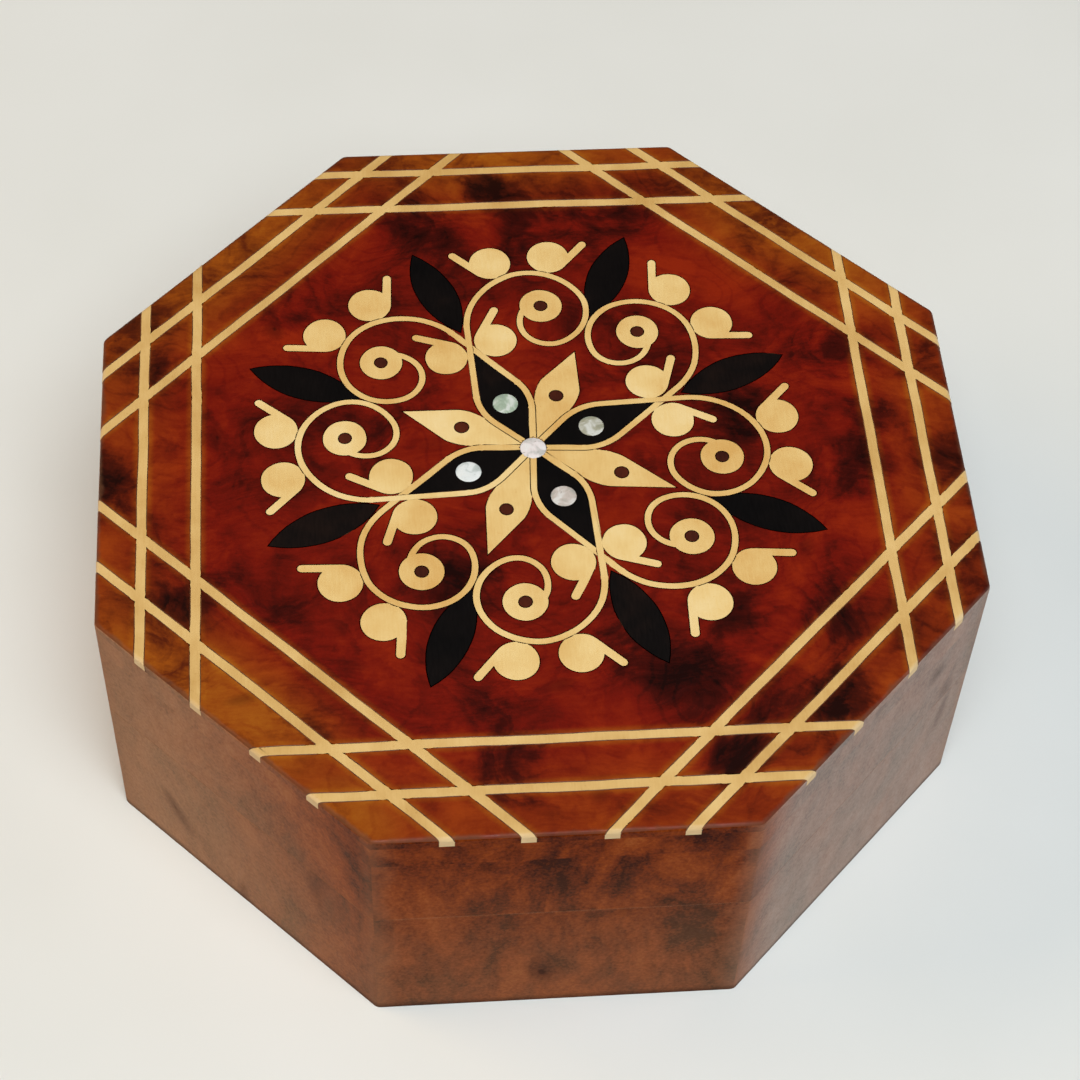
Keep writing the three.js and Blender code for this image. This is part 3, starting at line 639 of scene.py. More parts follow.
# %% Leaves, petals and dots
LEAF_LENGTH, LEAF_WIDTH, LEAF_STEPS = 16.6, 5.6, 14
MEETING_DISTANCE = 24.36
LEAF_GAP = 1.4
PETAL_TIPS = [18.8, 19.4, 19.7, 21.0]
PETAL_DOTS = [10.0, 10.6, 11.5, 13.0]
PETAL_PEARLS = [9.1, 8.8, 10.0, 9.4]
PETAL_DOT_RADIUS, PEARL_RADIUS, CENTRE_PEARL_RADIUS = 1.0, 1.85, 1.95
SHOULDER, SHOULDER_WIDTH, SHOULDER_FLAT = 10.7, 6.3, 1.8
CURVE_STEPS = 8


def leaf(root):
    half = LEAF_LENGTH / 2
    bow = (half * half - LEAF_WIDTH * LEAF_WIDTH / 4) / LEAF_WIDTH
    radius = bow + LEAF_WIDTH / 2
    xs = [-half + LEAF_LENGTH * i / LEAF_STEPS for i in range(1, LEAF_STEPS)]
    side = [complex(root + half + x, bow - math.sqrt(radius * radius - x * x)) for x in xs]
    return [complex(root), *side, complex(root + LEAF_LENGTH), *mirrored(side)]


def pale_petal(tip):
    """A kite whose shoulders are rounded off by a short curve."""
    near, far, half = SHOULDER - SHOULDER_FLAT / 2, SHOULDER + SHOULDER_FLAT / 2, SHOULDER_WIDTH / 2
    inner, outer = complex(near, -half), complex(far, -half)
    before, after = inner * 0.88, outer + (tip - outer) * 0.1
    curve = [
        before * (1 - t) ** 3 + 3 * inner * t * (1 - t) ** 2 + 3 * outer * t * t * (1 - t) + after * t**3
        for t in (i / CURVE_STEPS for i in range(CURVE_STEPS + 1))
    ]
    return [0j, *curve, complex(tip), *mirrored(curve)]


def at_spray(points, number, extra_turn=0.0):
    """Points drawn along +X, moved to a spray's place on the lid."""
    way = polar(1, FIRST_SPRAY + 90 * number + extra_turn)
    return [ROSETTE_SHIFT + p * way for p in points]


fork = CROSSING + STRING_WIDTH / 2 / math.sin(math.radians(CROSSING_ANGLE))
petal_inside = petal_line + mirrored(petal_line)[1:-1]
print("petal of", len(petal_inside), "points, leaf root at", round(fork + LEAF_GAP, 2), "mm")

# %% [markdown]
# ## Cutting the lid into pieces
# In real marquetry every piece has to meet its neighbours edge to edge. Rather than cut solids from solids,
# all outlines go into one Delaunay triangulation of the plane. It splits the lid wherever two lines cross and
# says which outlines hold each small face. The highest rank wins: a pearl over a petal, a string over a leaf.
# Pieces made from such faces share their borders exactly. Noise moves all outlines a little together, so the
# strings waver as hand-cut ones do and still fit. Only the pearls, which were drilled, stay true circles.

# %% Collect the outlines
BORDER_WIDTH, BORDER_STEP = 1.4, 1.5
SLOW_WAVER, SLOW_SIZE = 0.12, 9.0
QUICK_WAVER, QUICK_SIZE = 0.06, 2.6
shapes = []


def wander(point, size):
    """A noise for each direction of the plane. Two layers far apart keep them from moving alike."""
    x, y = point.real / size, point.imag / size
    return complex(noise.noise((x, y, 0.5)), noise.noise((x, y, 50.5)))


def hand_cut(points):
    """Points moved by up to about a tenth of a millimetre, both slowly and quickly along an outline."""
    return [p + SLOW_WAVER * wander(p, SLOW_SIZE) + QUICK_WAVER * wander(p, QUICK_SIZE) for p in points]


def shape(rank, piece, part, points, number=None):
    outline = points if part == "pearl" else hand_cut(points)
    shapes.append({"rank": rank, "piece": piece, "part": part, "points": outline, "spray": number})


for side in range(8):
    for distance in STRING_ROWS:
        line = [complex(distance, y) for y in np.arange(-FLATS / 2, FLATS / 2 + 1, BORDER_STEP)]
        bar = [BORDER_SHIFT + p * polar(1, 45 * side) for p in ribbon(line, BORDER_WIDTH)]
        shape(1, "border_strings", "strings", bar)

for n in range(4):
    name = str(n + 1)
    shape(2, "ebony_leaf_" + name, "leaf", at_spray(leaf(fork + LEAF_GAP), n))
    shape(2, "ebony_side_leaf_" + name, "leaf", at_spray(leaf(MEETING_DISTANCE + LEAF_GAP), n, 45))
    shape(3, "lemonwood_petal_" + name, "petal", at_spray(pale_petal(PETAL_TIPS[n]), n, 45))
    shape(3.5, "lid_top_board", "dot", at_spray(circle(PETAL_DOTS[n], PETAL_DOT_RADIUS, DOT_STEPS), n, 45))
    shape(4, "ebony_petal_" + name, "petal", at_spray(petal_inside, n))
    for half, flip in enumerate((lambda points: points, mirrored)):
        spray = "lemonwood_spray_" + name
        for i, outline in enumerate(commas):
            shape(5, spray, f"comma_{half}_{i}", at_spray(flip(outline), n), n)
        string = flip(ribbon(scroll_line, STRING_WIDTH))
        shape(6 + 0.1 * half, spray, f"string_{half}", at_spray(string, n), n)
        eye = flip(circle(eye_centre, DISC_RADIUS, DISC_STEPS))
        shape(6 + 0.1 * half, spray, f"string_{half}", at_spray(eye, n), n)
        dot = flip(circle(eye_centre, EYE_DOT_RADIUS, DOT_STEPS))
        shape(8, "lid_top_board", "dot", at_spray(dot, n))
    disc = circle(PETAL_PEARLS[n], PEARL_RADIUS, DISC_STEPS)
    shape(9, "pearl_dot_" + name, "pearl", at_spray(disc, n))
shape(9, "pearl_dot_centre", "pearl", at_spray(circle(0j, CENTRE_PEARL_RADIUS, DISC_STEPS), 0))
print(len(shapes), "outlines for the lid")

# %% [markdown]
# The rim of the top is rounded over. A few octagons nested inside the outline give the mesh edges along that
# rounding, and the height of each point follows from its distance to the outline.

# %% Split the plane
ROUND_TURNS = (0, 18, 36, 54, 72, 90)
LAST_RING, LEAST_ROUND, TOUCHING = 0.3, 0.12, 1e-4
rim_insets = [TOP_ROUND * (1 - math.cos(math.radians(t))) for t in ROUND_TURNS] + [TOP_ROUND + LAST_RING]
rings = [octagon(FLATS - 2 * inset, max(CORNER_ROUND - inset, LEAST_ROUND)) for inset in rim_insets]


def split_plane(outlines, rings):
    """Every face of the plane, with the outlines that hold it."""
    points, edges, faces = [], [], []
    for outline in [*outlines, rings[0]]:
        first = len(points)
        points += outline
        faces.append(list(range(first, first + len(outline))))
    ring_starts = []
    for ring in rings:
        ring_starts.append(len(points))
        points += ring
        edges += [(ring_starts[-1] + i, ring_starts[-1] + (i + 1) % len(ring)) for i in range(len(ring))]
    for a, b in zip(ring_starts, ring_starts[1:]):
        edges += [(a + i, b + i) for i in range(len(rings[0]))]
    flat = [Vector((p.real, p.imag)) for p in points]
    verts, _, faces, _, _, holders = delaunay_2d_cdt(flat, edges, faces, 0, TOUCHING)
    return [complex(v.x, v.y) for v in verts], faces, holders


plane, plane_faces, holders = split_plane([s["points"] for s in shapes], rings)
print(len(plane), "points and", len(plane_faces), "faces in the plane")


# %% Sort the faces by piece
def centre_of(face):
    return sum(plane[i] for i in face) / len(face)


def owner(face, held_by):
    """The piece and part that a face belongs to."""
    best = None
    for one in (shapes[i] for i in held_by if i < len(shapes)):
        near = 0.0
        if one["spray"] is not None:
            bearing = math.degrees(cmath.phase(centre_of(face) - ROSETTE_SHIFT))
            off = bearing - FIRST_SPRAY - 90 * one["spray"]
            near = 0.5 if abs((off + 180) % 360 - 180) <= 45 else 0.0
        if best is None or one["rank"] + near > best[0]:
            best = (one["rank"] + near, one["piece"], one["part"])
    return best[1:] if best else ("lid_top_board", "board")


regions = {}
for face, held_by in zip(plane_faces, holders):
    if len(shapes) in held_by:
        regions.setdefault(owner(face, held_by), []).append(face)
print(len(regions), "regions, such as", sorted(regions)[:3])

# %% [markdown]
# ## From regions to wood
# Each region becomes a closed block: its top follows the lid, its sides go straight down and its floor is
# flat. Where it meets a neighbour, its top edge is drawn in by a few hundredths of a millimetre, and a slope
# leads from there down to the shared line. Two such slopes make the fine valley that glue fills, and they get
# its colour. Every block also has a shade of its own, as no two pieces come from the same spot of a plank.

# %% Blocks for the inlay
GLUE_WIDTH, GLUE_DEPTH = 0.07, 0.04
LONGEST_STEP = 2.5 * GLUE_WIDTH
FLAT_MARGIN = 2.0
SMOOTH_ANGLE, PLANK_SEED = 25, 8
WOOD, GLUE, SIDE, UNDERSIDE, DOT = range(5)
outline_np = np.array([[p.real, p.imag] for p in rings[0]])
plank = np.random.default_rng(PLANK_SEED)


def rim_distance(point):
    """How far a point of the plane is from the outline of the lid."""
    a, b = outline_np, np.roll(outline_np, -1, axis=0)
    p = np.array([point.real, point.imag])
    t = np.clip(((p - a) * (b - a)).sum(1) / ((b - a) ** 2).sum(1), 0, 1)
    return float(np.linalg.norm(a + (b - a) * t[:, None] - p, axis=1).min())


def surface(point):
    """Height of the lid at a point, below its flat top."""
    if inset_of(point, FLATS / 2) > FLAT_MARGIN:
        return 0.0
    inset = min(rim_distance(point), TOP_ROUND)
    return math.sqrt(max(TOP_ROUND**2 - (TOP_ROUND - inset) ** 2, 0)) - TOP_ROUND


on_rim = [rim_distance(p) < 1e-3 for p in plane]


def drawn_in(before, at, after):
    """A border point moved inwards, by a different distance from each of its two edges."""
    normals, offsets = [], []
    for a, b in ((before, at), (at, after)):
        along = (plane[b] - plane[a]) / abs(plane[b] - plane[a])
        normals.append(1j * along)
        offsets.append(0.0 if on_rim[a] and on_rim[b] else GLUE_WIDTH)
    (n1, n2), (d1, d2) = normals, offsets
    cross = (n1.conjugate() * n2).imag
    if abs(cross) < 0.05:
        return plane[at] + (n1 * d1 + n2 * d2) / 2
    step = 1j * (n1 * d2 - n2 * d1) / -cross
    return plane[at] + step * min(1.0, LONGEST_STEP / max(abs(step), 1e-9))


def edges_of(face):
    return list(zip(face, face[1:] + face[:1]))


def block_of(faces, depth, into):
    """Adds a region's closed block to the lists in into: points, faces, material numbers and shades."""
    points, out, slots, shades = into
    areas = [sum((plane[a].conjugate() * plane[b]).imag for a, b in edges_of(f)) for f in faces]
    faces = [f if area > 0 else f[::-1] for f, area in zip(faces, areas)]
    directed = {edge for f in faces for edge in edges_of(f)}
    border = [(a, b) for a, b in directed if (b, a) not in directed]
    after, before = dict(border), {b: a for a, b in border}
    top, shoulder, floor = {}, {}, {}
    for i in sorted({i for f in faces for i in f}):
        place = drawn_in(before[i], i, after[i]) if i in after and i in before else plane[i]
        top[i] = len(points)
        points.append((place, surface(place)))
        floor[i] = len(points)
        points.append((plane[i], -depth))
        if i in after:
            shoulder[i] = len(points)
            points.append((plane[i], surface(plane[i]) - GLUE_DEPTH))
    for f in faces:
        out += [[top[i] for i in f], [floor[i] for i in reversed(f)]]
        slots += [WOOD, WOOD]
    for a, b in border:
        out += [[shoulder[a], shoulder[b], top[b], top[a]], [floor[a], floor[b], shoulder[b], shoulder[a]]]
        slots += [WOOD if on_rim[a] and on_rim[b] else GLUE, WOOD]
    shades += [plank.random()] * (len(out) - len(shades))


def mesh_object(name, points, faces, materials, slots=None, shades=None):
    """A mesh object from points in millimetres, each a place in the plane and a height."""
    mesh = bpy.data.meshes.new(name)
    mesh.from_pydata([(p.real * MM, p.imag * MM, z * MM) for p, z in points], [], faces)
    for material in materials:
        mesh.materials.append(material)
    if slots:
        mesh.polygons.foreach_set("material_index", slots)
    if shades:
        mesh.attributes.new("shade", "FLOAT", "FACE").data.foreach_set("value", shades)
    mesh.update()
    mesh.validate()
    mesh.shade_smooth()
    mesh.set_sharp_from_angle(angle=math.radians(SMOOTH_ANGLE))
    return new_object(name, mesh)


def finished(piece, body, slot, *replaced):
    """Puts a piece on its body and hides the solids it stands for. The slot is not used."""
    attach(piece, body)
    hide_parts(*replaced)
    return piece


# %% [markdown]
# The strings, sprays, petals and leaves are made from their regions. Parts of one piece, such as the string
# and the commas of a spray, are separate blocks in one mesh, so glue lines show between them as on the lid.

# %% Inlay pieces
WOODS = {"lemonwood": (lemonwood, "lemonwood"), "border": (stringing, "lemonwood"), "ebony": (ebony, "ebony")}


def raised(points):
    return [(p, z + HEIGHT) for p, z in points]


def inlay_piece(piece):
    into = ([], [], [], [])
    for (owner_piece, _), faces in sorted(regions.items()):
        if owner_piece == piece:
            block_of(faces, INLAY_DEPTH, into)
    points, faces, slots, shades = into
    material, slot = WOODS[piece.split("_")[0]]
    made = mesh_object("marquetry_" + piece, raised(points), faces, [material, glue], slots, shades)
    return finished(made, "lid", slot, piece)


inlay = [inlay_piece(p) for p in sorted({p for p, _ in regions}) if p.split("_")[0] in WOODS]
print(len(inlay), "inlay pieces,", sum(len(o.data.polygons) for o in inlay), "faces")

# %% [markdown]
# The board holds the inlay. Its top layer is what the other pieces leave over, down to the depth of the
# inlay, and a plain slab closes it below.

# %% Lid board
def slab(outline, low, high, into):
    points, out, slots, shades = into
    count, first = len(outline), len(points)
    points += [(p, low) for p in outline] + [(p, high) for p in outline]
    out += [list(range(first, first + count))[::-1], list(range(first + count, first + 2 * count))]
    for i in range(count):
        j = (i + 1) % count
        out.append([first + i, first + j, first + count + j, first + count + i])
    slots += [WOOD] * (count + 2)
    shades += [0.5] * (count + 2)


def lid_board():
    into = ([], [], [], [])
    points, faces, slots, shades = into
    for (piece, part), region in sorted(regions.items()):
        if piece == "lid_top_board":
            first = len(slots)
            block_of(region, INLAY_DEPTH, into)
            if part == "dot":
                slots[first:] = [DOT if slot == WOOD else slot for slot in slots[first:]]
    slab(rings[0], -TOP_THICKNESS, -INLAY_DEPTH, into)
    woods = [thuya_top, glue, thuya_sides, thuya_inside, dot_wood]
    made = mesh_object("marquetry_board", raised(points), faces, woods, slots, shades)
    lowest = (HEIGHT - TOP_ROUND / 2) * MM
    for polygon in made.data.polygons:
        if polygon.center.z < lowest and polygon.material_index == WOOD:
            polygon.material_index = UNDERSIDE if polygon.normal.z < -0.9 else SIDE
    return finished(made, "lid", "thuya_top", "lid_top_board")


board = lid_board()
print("board of", len(board.data.polygons), "faces")

# %% [markdown]
# ## Pearls
# The five mother-of-pearl dots are all one shape, so Geometry Nodes puts copies of one domed disc on five
# points, each turned by a random angle. The result is kept as one plain mesh for the lid.


# %% Turned shapes
def lathe(name, profile, steps, material):
    """A turned shape from (radius, height) points, from the top of its axis to the bottom."""
    points, faces = [(0j, profile[0][1])], []
    for radius, z in profile[1:-1]:
        points += [(polar(radius, 360 * i / steps), z) for i in range(steps)]
    points.append((0j, profile[-1][1]))
    for i in range(steps):
        j = (i + 1) % steps
        faces.append([0, 1 + i, 1 + j])
        for ring in range(len(profile) - 3):
            a = 1 + ring * steps
            faces.append([a + j, a + i, a + steps + i, a + steps + j])
        last = 1 + (len(profile) - 3) * steps
        faces.append([len(points) - 1, last + j, last + i])
    return mesh_object(name, points, faces, [material])


def node_result(host, name, material):
    """The evaluated geometry of an object as a plain mesh object, without its modifier."""
    host.data.materials.clear()
    graph = bpy.context.evaluated_depsgraph_get()
    mesh = bpy.data.meshes.new_from_object(host.evaluated_get(graph))
    mesh.name = name
    if not mesh.materials:
        mesh.materials.append(material)
    bpy.data.objects.remove(host)
    return new_object(name, mesh)


def node_tree(name, inputs):
    """An empty geometry tree with named inputs, the sockets that give them, and its output node."""
    tree = bpy.data.node_groups.new(name, "GeometryNodeTree")
    tree.interface.new_socket("Geometry", in_out="INPUT", socket_type="NodeSocketGeometry")
    for label, kind in inputs.items():
        tree.interface.new_socket(label, in_out="INPUT", socket_type="NodeSocket" + kind)
    tree.interface.new_socket("Geometry", in_out="OUTPUT", socket_type="NodeSocketGeometry")
    return tree, add(tree, "NodeGroupInput").outputs, add(tree, "NodeGroupOutput")


def end_tree(tree, given, output, points, part, least, most):
    """Copies a part onto points, turned at random between two turns, and sends out real geometry."""
    turns = {0: least, 1: most, "Seed": given["Seed"]}
    spin = add(tree, "FunctionNodeRandomValue", turns, data_type="FLOAT_VECTOR")
    placed = {"Points": points, "Instance": part, "Rotation": spin}
    copies = add(tree, "GeometryNodeInstanceOnPoints", placed)
    real = add(tree, "GeometryNodeRealizeInstances", {"Geometry": copies})
    painted = add(tree, "GeometryNodeSetMaterial", {"Geometry": real, "Material": given["Finish"]})
    fill(tree, output, {"Geometry": painted})


def run_tree(host, tree, values):
    """Puts a geometry tree on an object and sets its named inputs by their identifiers."""
    modifier = host.modifiers.new(tree.name, "NODES")
    modifier.node_group = tree
    for item in tree.interface.items_tree:
        if item.in_out == "INPUT" and item.name in values:
            modifier[item.identifier] = values[item.name]


def on_points(name, places, blank, finish, least, most, seed=0, tints=()):
    """Copies of a blank on points, as one plain mesh object. Tints are written on the points."""
    tree, given, output = node_tree(name, {"Part": "Object", "Seed": "Int", "Finish": "Material"})
    part = add(tree, "GeometryNodeObjectInfo", {"Object": given["Part"]}).outputs["Geometry"]
    end_tree(tree, given, output, given["Geometry"], part, least, most)
    host = mesh_object(name + "_points", places, [], [])
    if tints:
        host.data.attributes.new("tint", "FLOAT", "POINT").data.foreach_set("value", tints)
    run_tree(host, tree, {"Part": blank, "Seed": seed, "Finish": finish})
    made = node_result(host, name, finish)
    bpy.data.objects.remove(blank)
    return made


# %% Pearls on their points
PEARL_SEED = 3
PEARL_TINTS = [0.95, 0.35, 0.1, 0.8, 0.6]
dome = [(0, 0), (1.0, -0.01), (1.6, -0.03), (1.78, -0.07), (PEARL_RADIUS, -0.16)]
dome += [(PEARL_RADIUS, -PEARL_DEPTH), (0, -PEARL_DEPTH)]
places = at_spray([0j], 0) + [p for n in range(4) for p in at_spray([PETAL_PEARLS[n]], n)]
places = [(p, HEIGHT) for p in places]
pearl_blank = lathe("pearl_blank", dome, DISC_STEPS, pearl)
turns = ((0, 0, 0), (0, 0, math.tau))
pearl_dots = on_points("marquetry_pearls", places, pearl_blank, pearl, *turns, PEARL_SEED, PEARL_TINTS)
finished(pearl_dots, "lid", "mother_of_pearl", "pearl_dot_centre", *[f"pearl_dot_{n}" for n in (1, 2, 3, 4)])
print("pearls of", len(pearl_dots.data.polygons), "faces")

# %% [markdown]
# ## Walls, base and hinges
# These solids already have the right shape, but their edges are knife sharp, and the glue gaps between them
# are wider than on the real box. Each is copied and simplified, the walls' gaps are closed up, and outer
# edges get a small bevel. Weighted normals keep the large faces flat between the bevels.

# %% Copies of solids with softened edges
SHARP_ANGLE, MERGED = 30, 1e-6


def softened(node, name, material, width, place=None, share=None):
    """A bevelled copy of a solid. Place moves a point, and share is how much of the width an edge gets."""
    mesh = bpy.data.meshes.new(name)
    bm = bmesh.new()
    bm.from_mesh(nodes[node].data)
    bmesh.ops.remove_doubles(bm, verts=bm.verts, dist=MERGED)
    bmesh.ops.dissolve_limit(bm, angle_limit=math.radians(1), verts=bm.verts, edges=bm.edges)
    if place:
        for v in bm.verts:
            v.co = place(v.co)
    weight = bm.edges.layers.float.new("bevel_weight_edge")
    for e in bm.edges:
        sharp = len(e.link_faces) == 2 and e.calc_face_angle(0) > math.radians(SHARP_ANGLE)
        if sharp:
            e[weight] = share(e) if share else 1.0
        e.smooth = not sharp
    bm.to_mesh(mesh)
    bm.free()
    mesh.shade_smooth()
    mesh.materials.append(material)
    made = new_object(name, mesh)
    bevel = made.modifiers.new("softened edges", "BEVEL")
    bevel.limit_method, bevel.width, bevel.segments = "WEIGHT", width * MM, 2
    normals = made.modifiers.new("flat faces", "WEIGHTED_NORMAL")
    normals.keep_sharp = True
    return made


# %% Walls
SIDES = ["front", "front_right", "right", "back_right", "back", "back_left", "left", "front_left"]
HALVES = [("body", "box_body"), ("lid", "lid")]
SEAM, JOINT = (HEIGHT - TOP_THICKNESS) * MM, JOINT_HEIGHT * MM
GLUE_GAP, JOINT_GAP, LEFT_OPEN, MITRE_SHIFT = 0.1, 0.12, 0.03, 0.047
WALL_BEVEL, BASE_BEVEL, LEAF_BEVEL = 0.25, 0.2, 0.08
JOINT_SHARE, MITRE_FROM, LONG_EDGE, CLOSE = 0.15, 15, 3, 0.005


def wall_place(side):
    """Closes a wall's gaps to the lid board and its neighbours, and leaves a fine one at the joint."""
    out = polar(1, 45 * side - 90)

    def place(co):
        x, y, z = co
        along = (complex(x, y) * out.conjugate()).imag
        step = out * 1j * math.copysign(MITRE_SHIFT * MM, along) if abs(along) > MITRE_FROM * MM else 0
        if abs(z - (SEAM - GLUE_GAP * MM)) < CLOSE * MM:
            z = SEAM
        if abs(abs(z - JOINT) - JOINT_GAP / 2 * MM) < CLOSE * MM:
            z = JOINT + math.copysign(LEFT_OPEN / 2 * MM, z - JOINT)
        return Vector((x + step.real, y + step.imag, z)) if step else Vector((x, y, z))

    return place


def wall_share(edge):
    """Edges under the lid board and on the mitres stay sharp, and those at the joint are nearly so."""
    a, b = (v.co.z for v in edge.verts)
    if min(abs(a - SEAM), abs(b - SEAM)) < MERGED or abs(a - b) > LONG_EDGE * MM:
        return 0.0
    return JOINT_SHARE if max(abs(a - JOINT), abs(b - JOINT)) < JOINT_GAP * MM else 1.0


walls = []
for i, side in enumerate(SIDES):
    for part, body in HALVES:
        node = f"{part}_wall_{side}"
        wall = softened(node, "thuya_" + node, thuya_sides, WALL_BEVEL, wall_place(i), wall_share)
        wall.data.materials.append(thuya_inside)
        own_shade = wall.data.attributes.new("shade", "FLOAT", "FACE")
        own_shade.data.foreach_set("value", [plank.random()] * len(wall.data.polygons))
        for polygon in wall.data.polygons:
            inward = polygon.normal.xy.dot(polygon.center.xy) < -0.5 * polygon.center.xy.length
            at_joint = abs(polygon.normal.z) > 0.9 and abs(polygon.center.z - JOINT) < MM
            polygon.material_index = 1 if inward or at_joint else 0
        walls.append(finished(wall, body, "thuya_sides", node))
base = softened("base_board", "thuya_base", thuya_sides, BASE_BEVEL)
finished(base, "box_body", "thuya_sides", "base_board")
print(len(walls), "walls")


# %% Hinge leaves
for hand in ("left", "right"):
    for part, body in HALVES:
        node = f"hinge_{hand}_{part}_leaf"
        leaf_piece = softened(node, "brass_" + node, brass, LEAF_BEVEL)
        finished(leaf_piece, body, "brass", node)
print("hinge leaves done")

# %% [markdown]
# ## Screws and pins
# A countersunk screw is turned once and copied by Geometry Nodes: two screws in a row, and that row once
# per hinge. Each gets a random turn, because nobody lines up the slots. The pins are copied onto two points,
# as the pearls are onto five, and lie along the axis of the hinges.

# %% Screws
SCREW_LENGTH, SHANK_RADIUS, HEAD_RADIUS, HEAD_HEIGHT = 6.0, 0.6, 1.1, 0.55
THREAD_TURNS, THREAD_PITCH, THREAD_DEPTH, TURNED_STEPS = 9, 0.45, 0.12, 20
SLOT_WIDTH, SLOT_DEPTH, HEAD_LEVEL = 0.3, 0.3, 0.11
HINGE_LENGTH, HINGE_END, HINGE_INSET = 14.0, 6.0, 1.4
HINGE_OFFSET = FLATS * math.tan(math.radians(HALF_CORNER)) / 2 - HINGE_END - HINGE_LENGTH / 2
PLATE_NEAR, PLATE_FAR = 1.5, 4.6
SCREW_ROW = FLATS / 2 - HINGE_INSET - (PLATE_NEAR + PLATE_FAR) / 2
SCREW_SPACING, SCREW_SEED = 8.0, 5


def screw_blank():
    """A countersunk head, a tapered thread drawn as rings, and a point."""
    profile = [(0, 0.0), (HEAD_RADIUS - 0.12, 0.0), (HEAD_RADIUS, -0.08), (SHANK_RADIUS, -HEAD_HEIGHT)]
    for i in range(THREAD_TURNS):
        z = -HEAD_HEIGHT - 0.5 - i * THREAD_PITCH
        profile += [(SHANK_RADIUS - THREAD_DEPTH, z), (SHANK_RADIUS, z - 0.4 * THREAD_PITCH)]
    profile += [(SHANK_RADIUS * 0.5, -SCREW_LENGTH + 0.5), (0, -SCREW_LENGTH)]
    return lathe("screw_blank", profile, TURNED_STEPS, brass)


def screw_tree():
    labels = {"Screw": "Object", "Slot": "Object", "Hinges apart": "Float", "Screws apart": "Float"}
    tree, given, output = node_tree("screws", {**labels, "Seed": "Int", "Finish": "Material"})
    lines = []
    for label in ("Hinges apart", "Screws apart"):
        step = add(tree, "CombineXYZ", {"X": given[label]})
        start = add(tree, "VectorMath", {0: step, "Scale": -0.5}, operation="SCALE")
        lines.append(add(tree, "GeometryNodeMeshLine", {"Count": 2, "Start Location": start, "Offset": step}))
    blank = add(tree, "GeometryNodeObjectInfo", {"Object": given["Screw"]}).outputs["Geometry"]
    slot = add(tree, "GeometryNodeObjectInfo", {"Object": given["Slot"]}).outputs["Geometry"]
    slotted = add(tree, "GeometryNodeMeshBoolean", {"Mesh 1": blank, "Mesh 2": slot}, operation="DIFFERENCE")
    rows = add(tree, "GeometryNodeInstanceOnPoints", {"Points": lines[0], "Instance": lines[1]})
    points = add(tree, "GeometryNodeRealizeInstances", {"Geometry": rows})
    end_tree(tree, given, output, points, slotted, (0, 0, 0), (0, 0, math.pi))
    return tree


def box_points(x, y, low, high):
    corners = [complex(-x, -y), complex(x, -y), complex(x, y), complex(-x, y)]
    into = ([], [], [], [])
    slab(corners, low, high, into)
    return into[:2]


screw_nodes = screw_tree()
blank_screw = screw_blank()
slot_points, slot_faces = box_points(2.0, SLOT_WIDTH / 2, -SLOT_DEPTH, 0.5)
slot_cutter = mesh_object("slot_cutter", slot_points, slot_faces, [])
for (part, body), upwards in zip(HALVES, (-1, 1)):
    host = mesh_object("screw_host_" + part, [(0j, 0.0)], [], [])
    run_tree(host, screw_nodes, {
        "Screw": blank_screw, "Slot": slot_cutter, "Hinges apart": 2 * HINGE_OFFSET * MM,
        "Screws apart": SCREW_SPACING * MM, "Seed": SCREW_SEED, "Finish": brass,
    })
    made = node_result(host, f"brass_{part}_screws", brass)
    flip = turn(180, "X") if upwards > 0 else Matrix.Identity(4)
    height = JOINT_HEIGHT + upwards * HEAD_LEVEL
    made.data.transform(Matrix.Translation((0, SCREW_ROW * MM, height * MM)) @ flip)
    finished(made, body, "brass", *[f"hinge_{h}_{part}_screw_{i}" for h in ("left", "right") for i in (1, 2)])
    print(made.name, len(made.data.polygons), "faces")
for spare in (blank_screw, slot_cutter):
    bpy.data.objects.remove(spare)

# %% Pins
PIN_RADIUS, PIN_LENGTH = 0.55, HINGE_LENGTH
LYING = (0, math.pi / 2, 0)
half = PIN_LENGTH / 2
rod = [(0, half), (PIN_RADIUS * 0.6, half - 0.04), (PIN_RADIUS, half - 0.25)]
rod += [(radius, -z) for radius, z in reversed(rod)]
axis = [(complex(x, FLATS / 2 - HINGE_INSET), JOINT_HEIGHT) for x in (-HINGE_OFFSET, HINGE_OFFSET)]
pin_blank = lathe("pin_blank", rod, TURNED_STEPS, brass)
hinge_pins = on_points("brass_pins", axis, pin_blank, brass, LYING, LYING)
finished(hinge_pins, "box_body", "brass", "hinge_left_pin", "hinge_right_pin")
print("pins of", len(hinge_pins.data.polygons), "faces")

# %% [markdown]
# ## Felt
# The felt is cut a little small for the well and glued down. Its surface is not quite flat and its cut edge
# is soft, so the sheet is a triangulated grid. The height of a point follows a slow noise and falls off
# towards the edge.

# %% Felt floor
FELT_STEP, FELT_WAVE, WAVE_SIZE, FELT_DROP, FELT_CORNER = 1.6, 0.14, 9, 0.4, 0.8


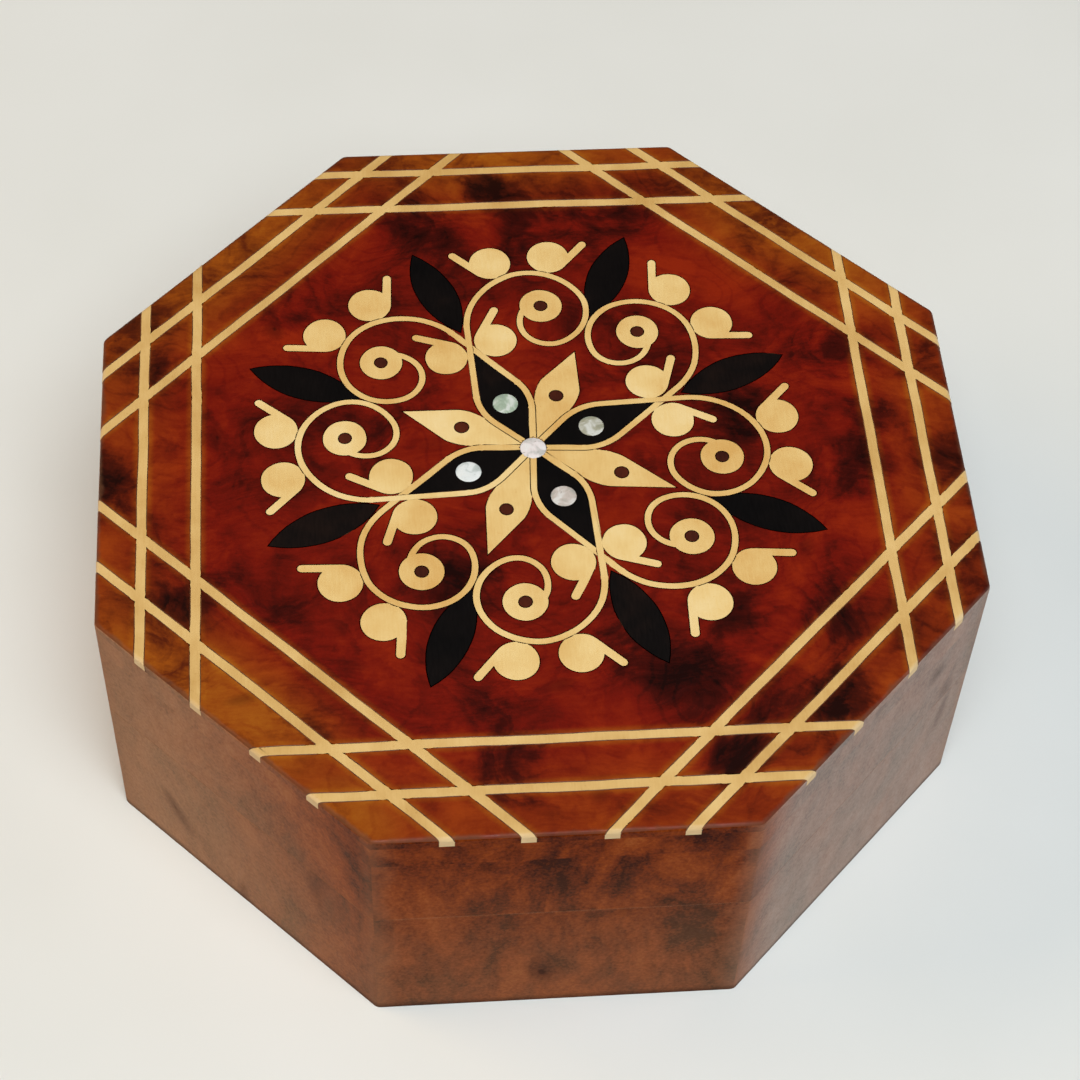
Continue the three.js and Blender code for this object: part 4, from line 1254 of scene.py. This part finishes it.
def felt_sheet():
    """The top is a net of points, and a row of walls and one flat face close it below."""
    solid = [v.co / MM for v in nodes["felt_floor"].data.vertices]
    low, high, reach = min(v.z for v in solid), max(v.z for v in solid), max(v.x for v in solid)
    edge = octagon(2 * reach, FELT_CORNER)
    row = np.arange(-reach, reach, FELT_STEP)
    grid = [complex(x, y) for x in row for y in row if inset_of(complex(x, y), reach) > 1.0]
    inner = [p * (1 - inset / reach) for p in edge for inset in (0.25, 0.7)]
    flat = [Vector((p.real, p.imag)) for p in edge + inner + grid]
    corners, _, faces, *_ = delaunay_2d_cdt(flat, [], [list(range(len(edge)))], 0, TOUCHING)
    points = []
    for place in (complex(v.x, v.y) for v in corners):
        wave = FELT_WAVE * (noise.noise(Vector((place.real, place.imag, 0)) / WAVE_SIZE) - 1) / 2
        points.append((place, high + wave - FELT_DROP * math.exp(-2 * inset_of(place, reach))))
    first = len(points)
    points += [(points[i][0], low) for i in range(len(edge))]
    faces = [list(f) for f in faces] + [list(range(first, first + len(edge)))[::-1]]
    for i in range(len(edge)):
        j = (i + 1) % len(edge)
        faces.append([first + i, first + j, j, i])
    made = mesh_object("felt_lining", points, faces, [felt])
    return finished(made, "box_body", "felt", "felt_floor")


felt_lining = felt_sheet()
print("felt of", len(felt_lining.data.polygons), "faces")

# %% [markdown]
# ## Floor and light
# The box stands on a pale matt table. Large soft lamps keep the shadows weak. The lid shows no reflection in
# the photograph, so no lamp stands where the flat top would mirror it into the camera.

# %% Floor
TABLE_SIZE, TABLE_THICKNESS = 3000.0, 10.0
table = mottled("pale_matt_table", 60, 3.0, [(0.3, "#e4e2dc"), (0.7, "#e9e7e2")], 0.9)
floor_points, floor_faces = box_points(TABLE_SIZE / 2, TABLE_SIZE / 2, -TABLE_THICKNESS, 0.0)
floor = mesh_object("floor", floor_points, floor_faces, [table])


# %% Lamps
LAMP_AIM = Vector((0, 0, 0.03))


def lamp(name, place, size, power, colour):
    light = bpy.data.lights.new(name, "AREA")
    light.shape, light.size, light.energy, light.color = "DISK", size, power, linear(colour)[:3]
    holder = new_object(name, light)
    holder.location = place
    holder.rotation_euler = (LAMP_AIM - Vector(place)).to_track_quat("-Z", "Y").to_euler()


lamp("overhead", (0.1, -0.75, 1.5), 1.3, 30.0, "#f1faff")
lamp("window", (1.6, 0.1, 0.3), 0.5, 6.0, "#e6efff")
lamp("room", (-1.3, 0.3, 1.0), 1.1, 9.5, "#ffdcaa")
world = bpy.data.worlds.new("studio")
world.use_nodes = True
world.node_tree.nodes["Background"].inputs["Color"].default_value = linear("#cfd2d6")
world.node_tree.nodes["Background"].inputs["Strength"].default_value = 0.04
bpy.context.scene.world = world
bpy.context.scene.view_settings.view_transform = "Standard"
print("lamps and floor ready")
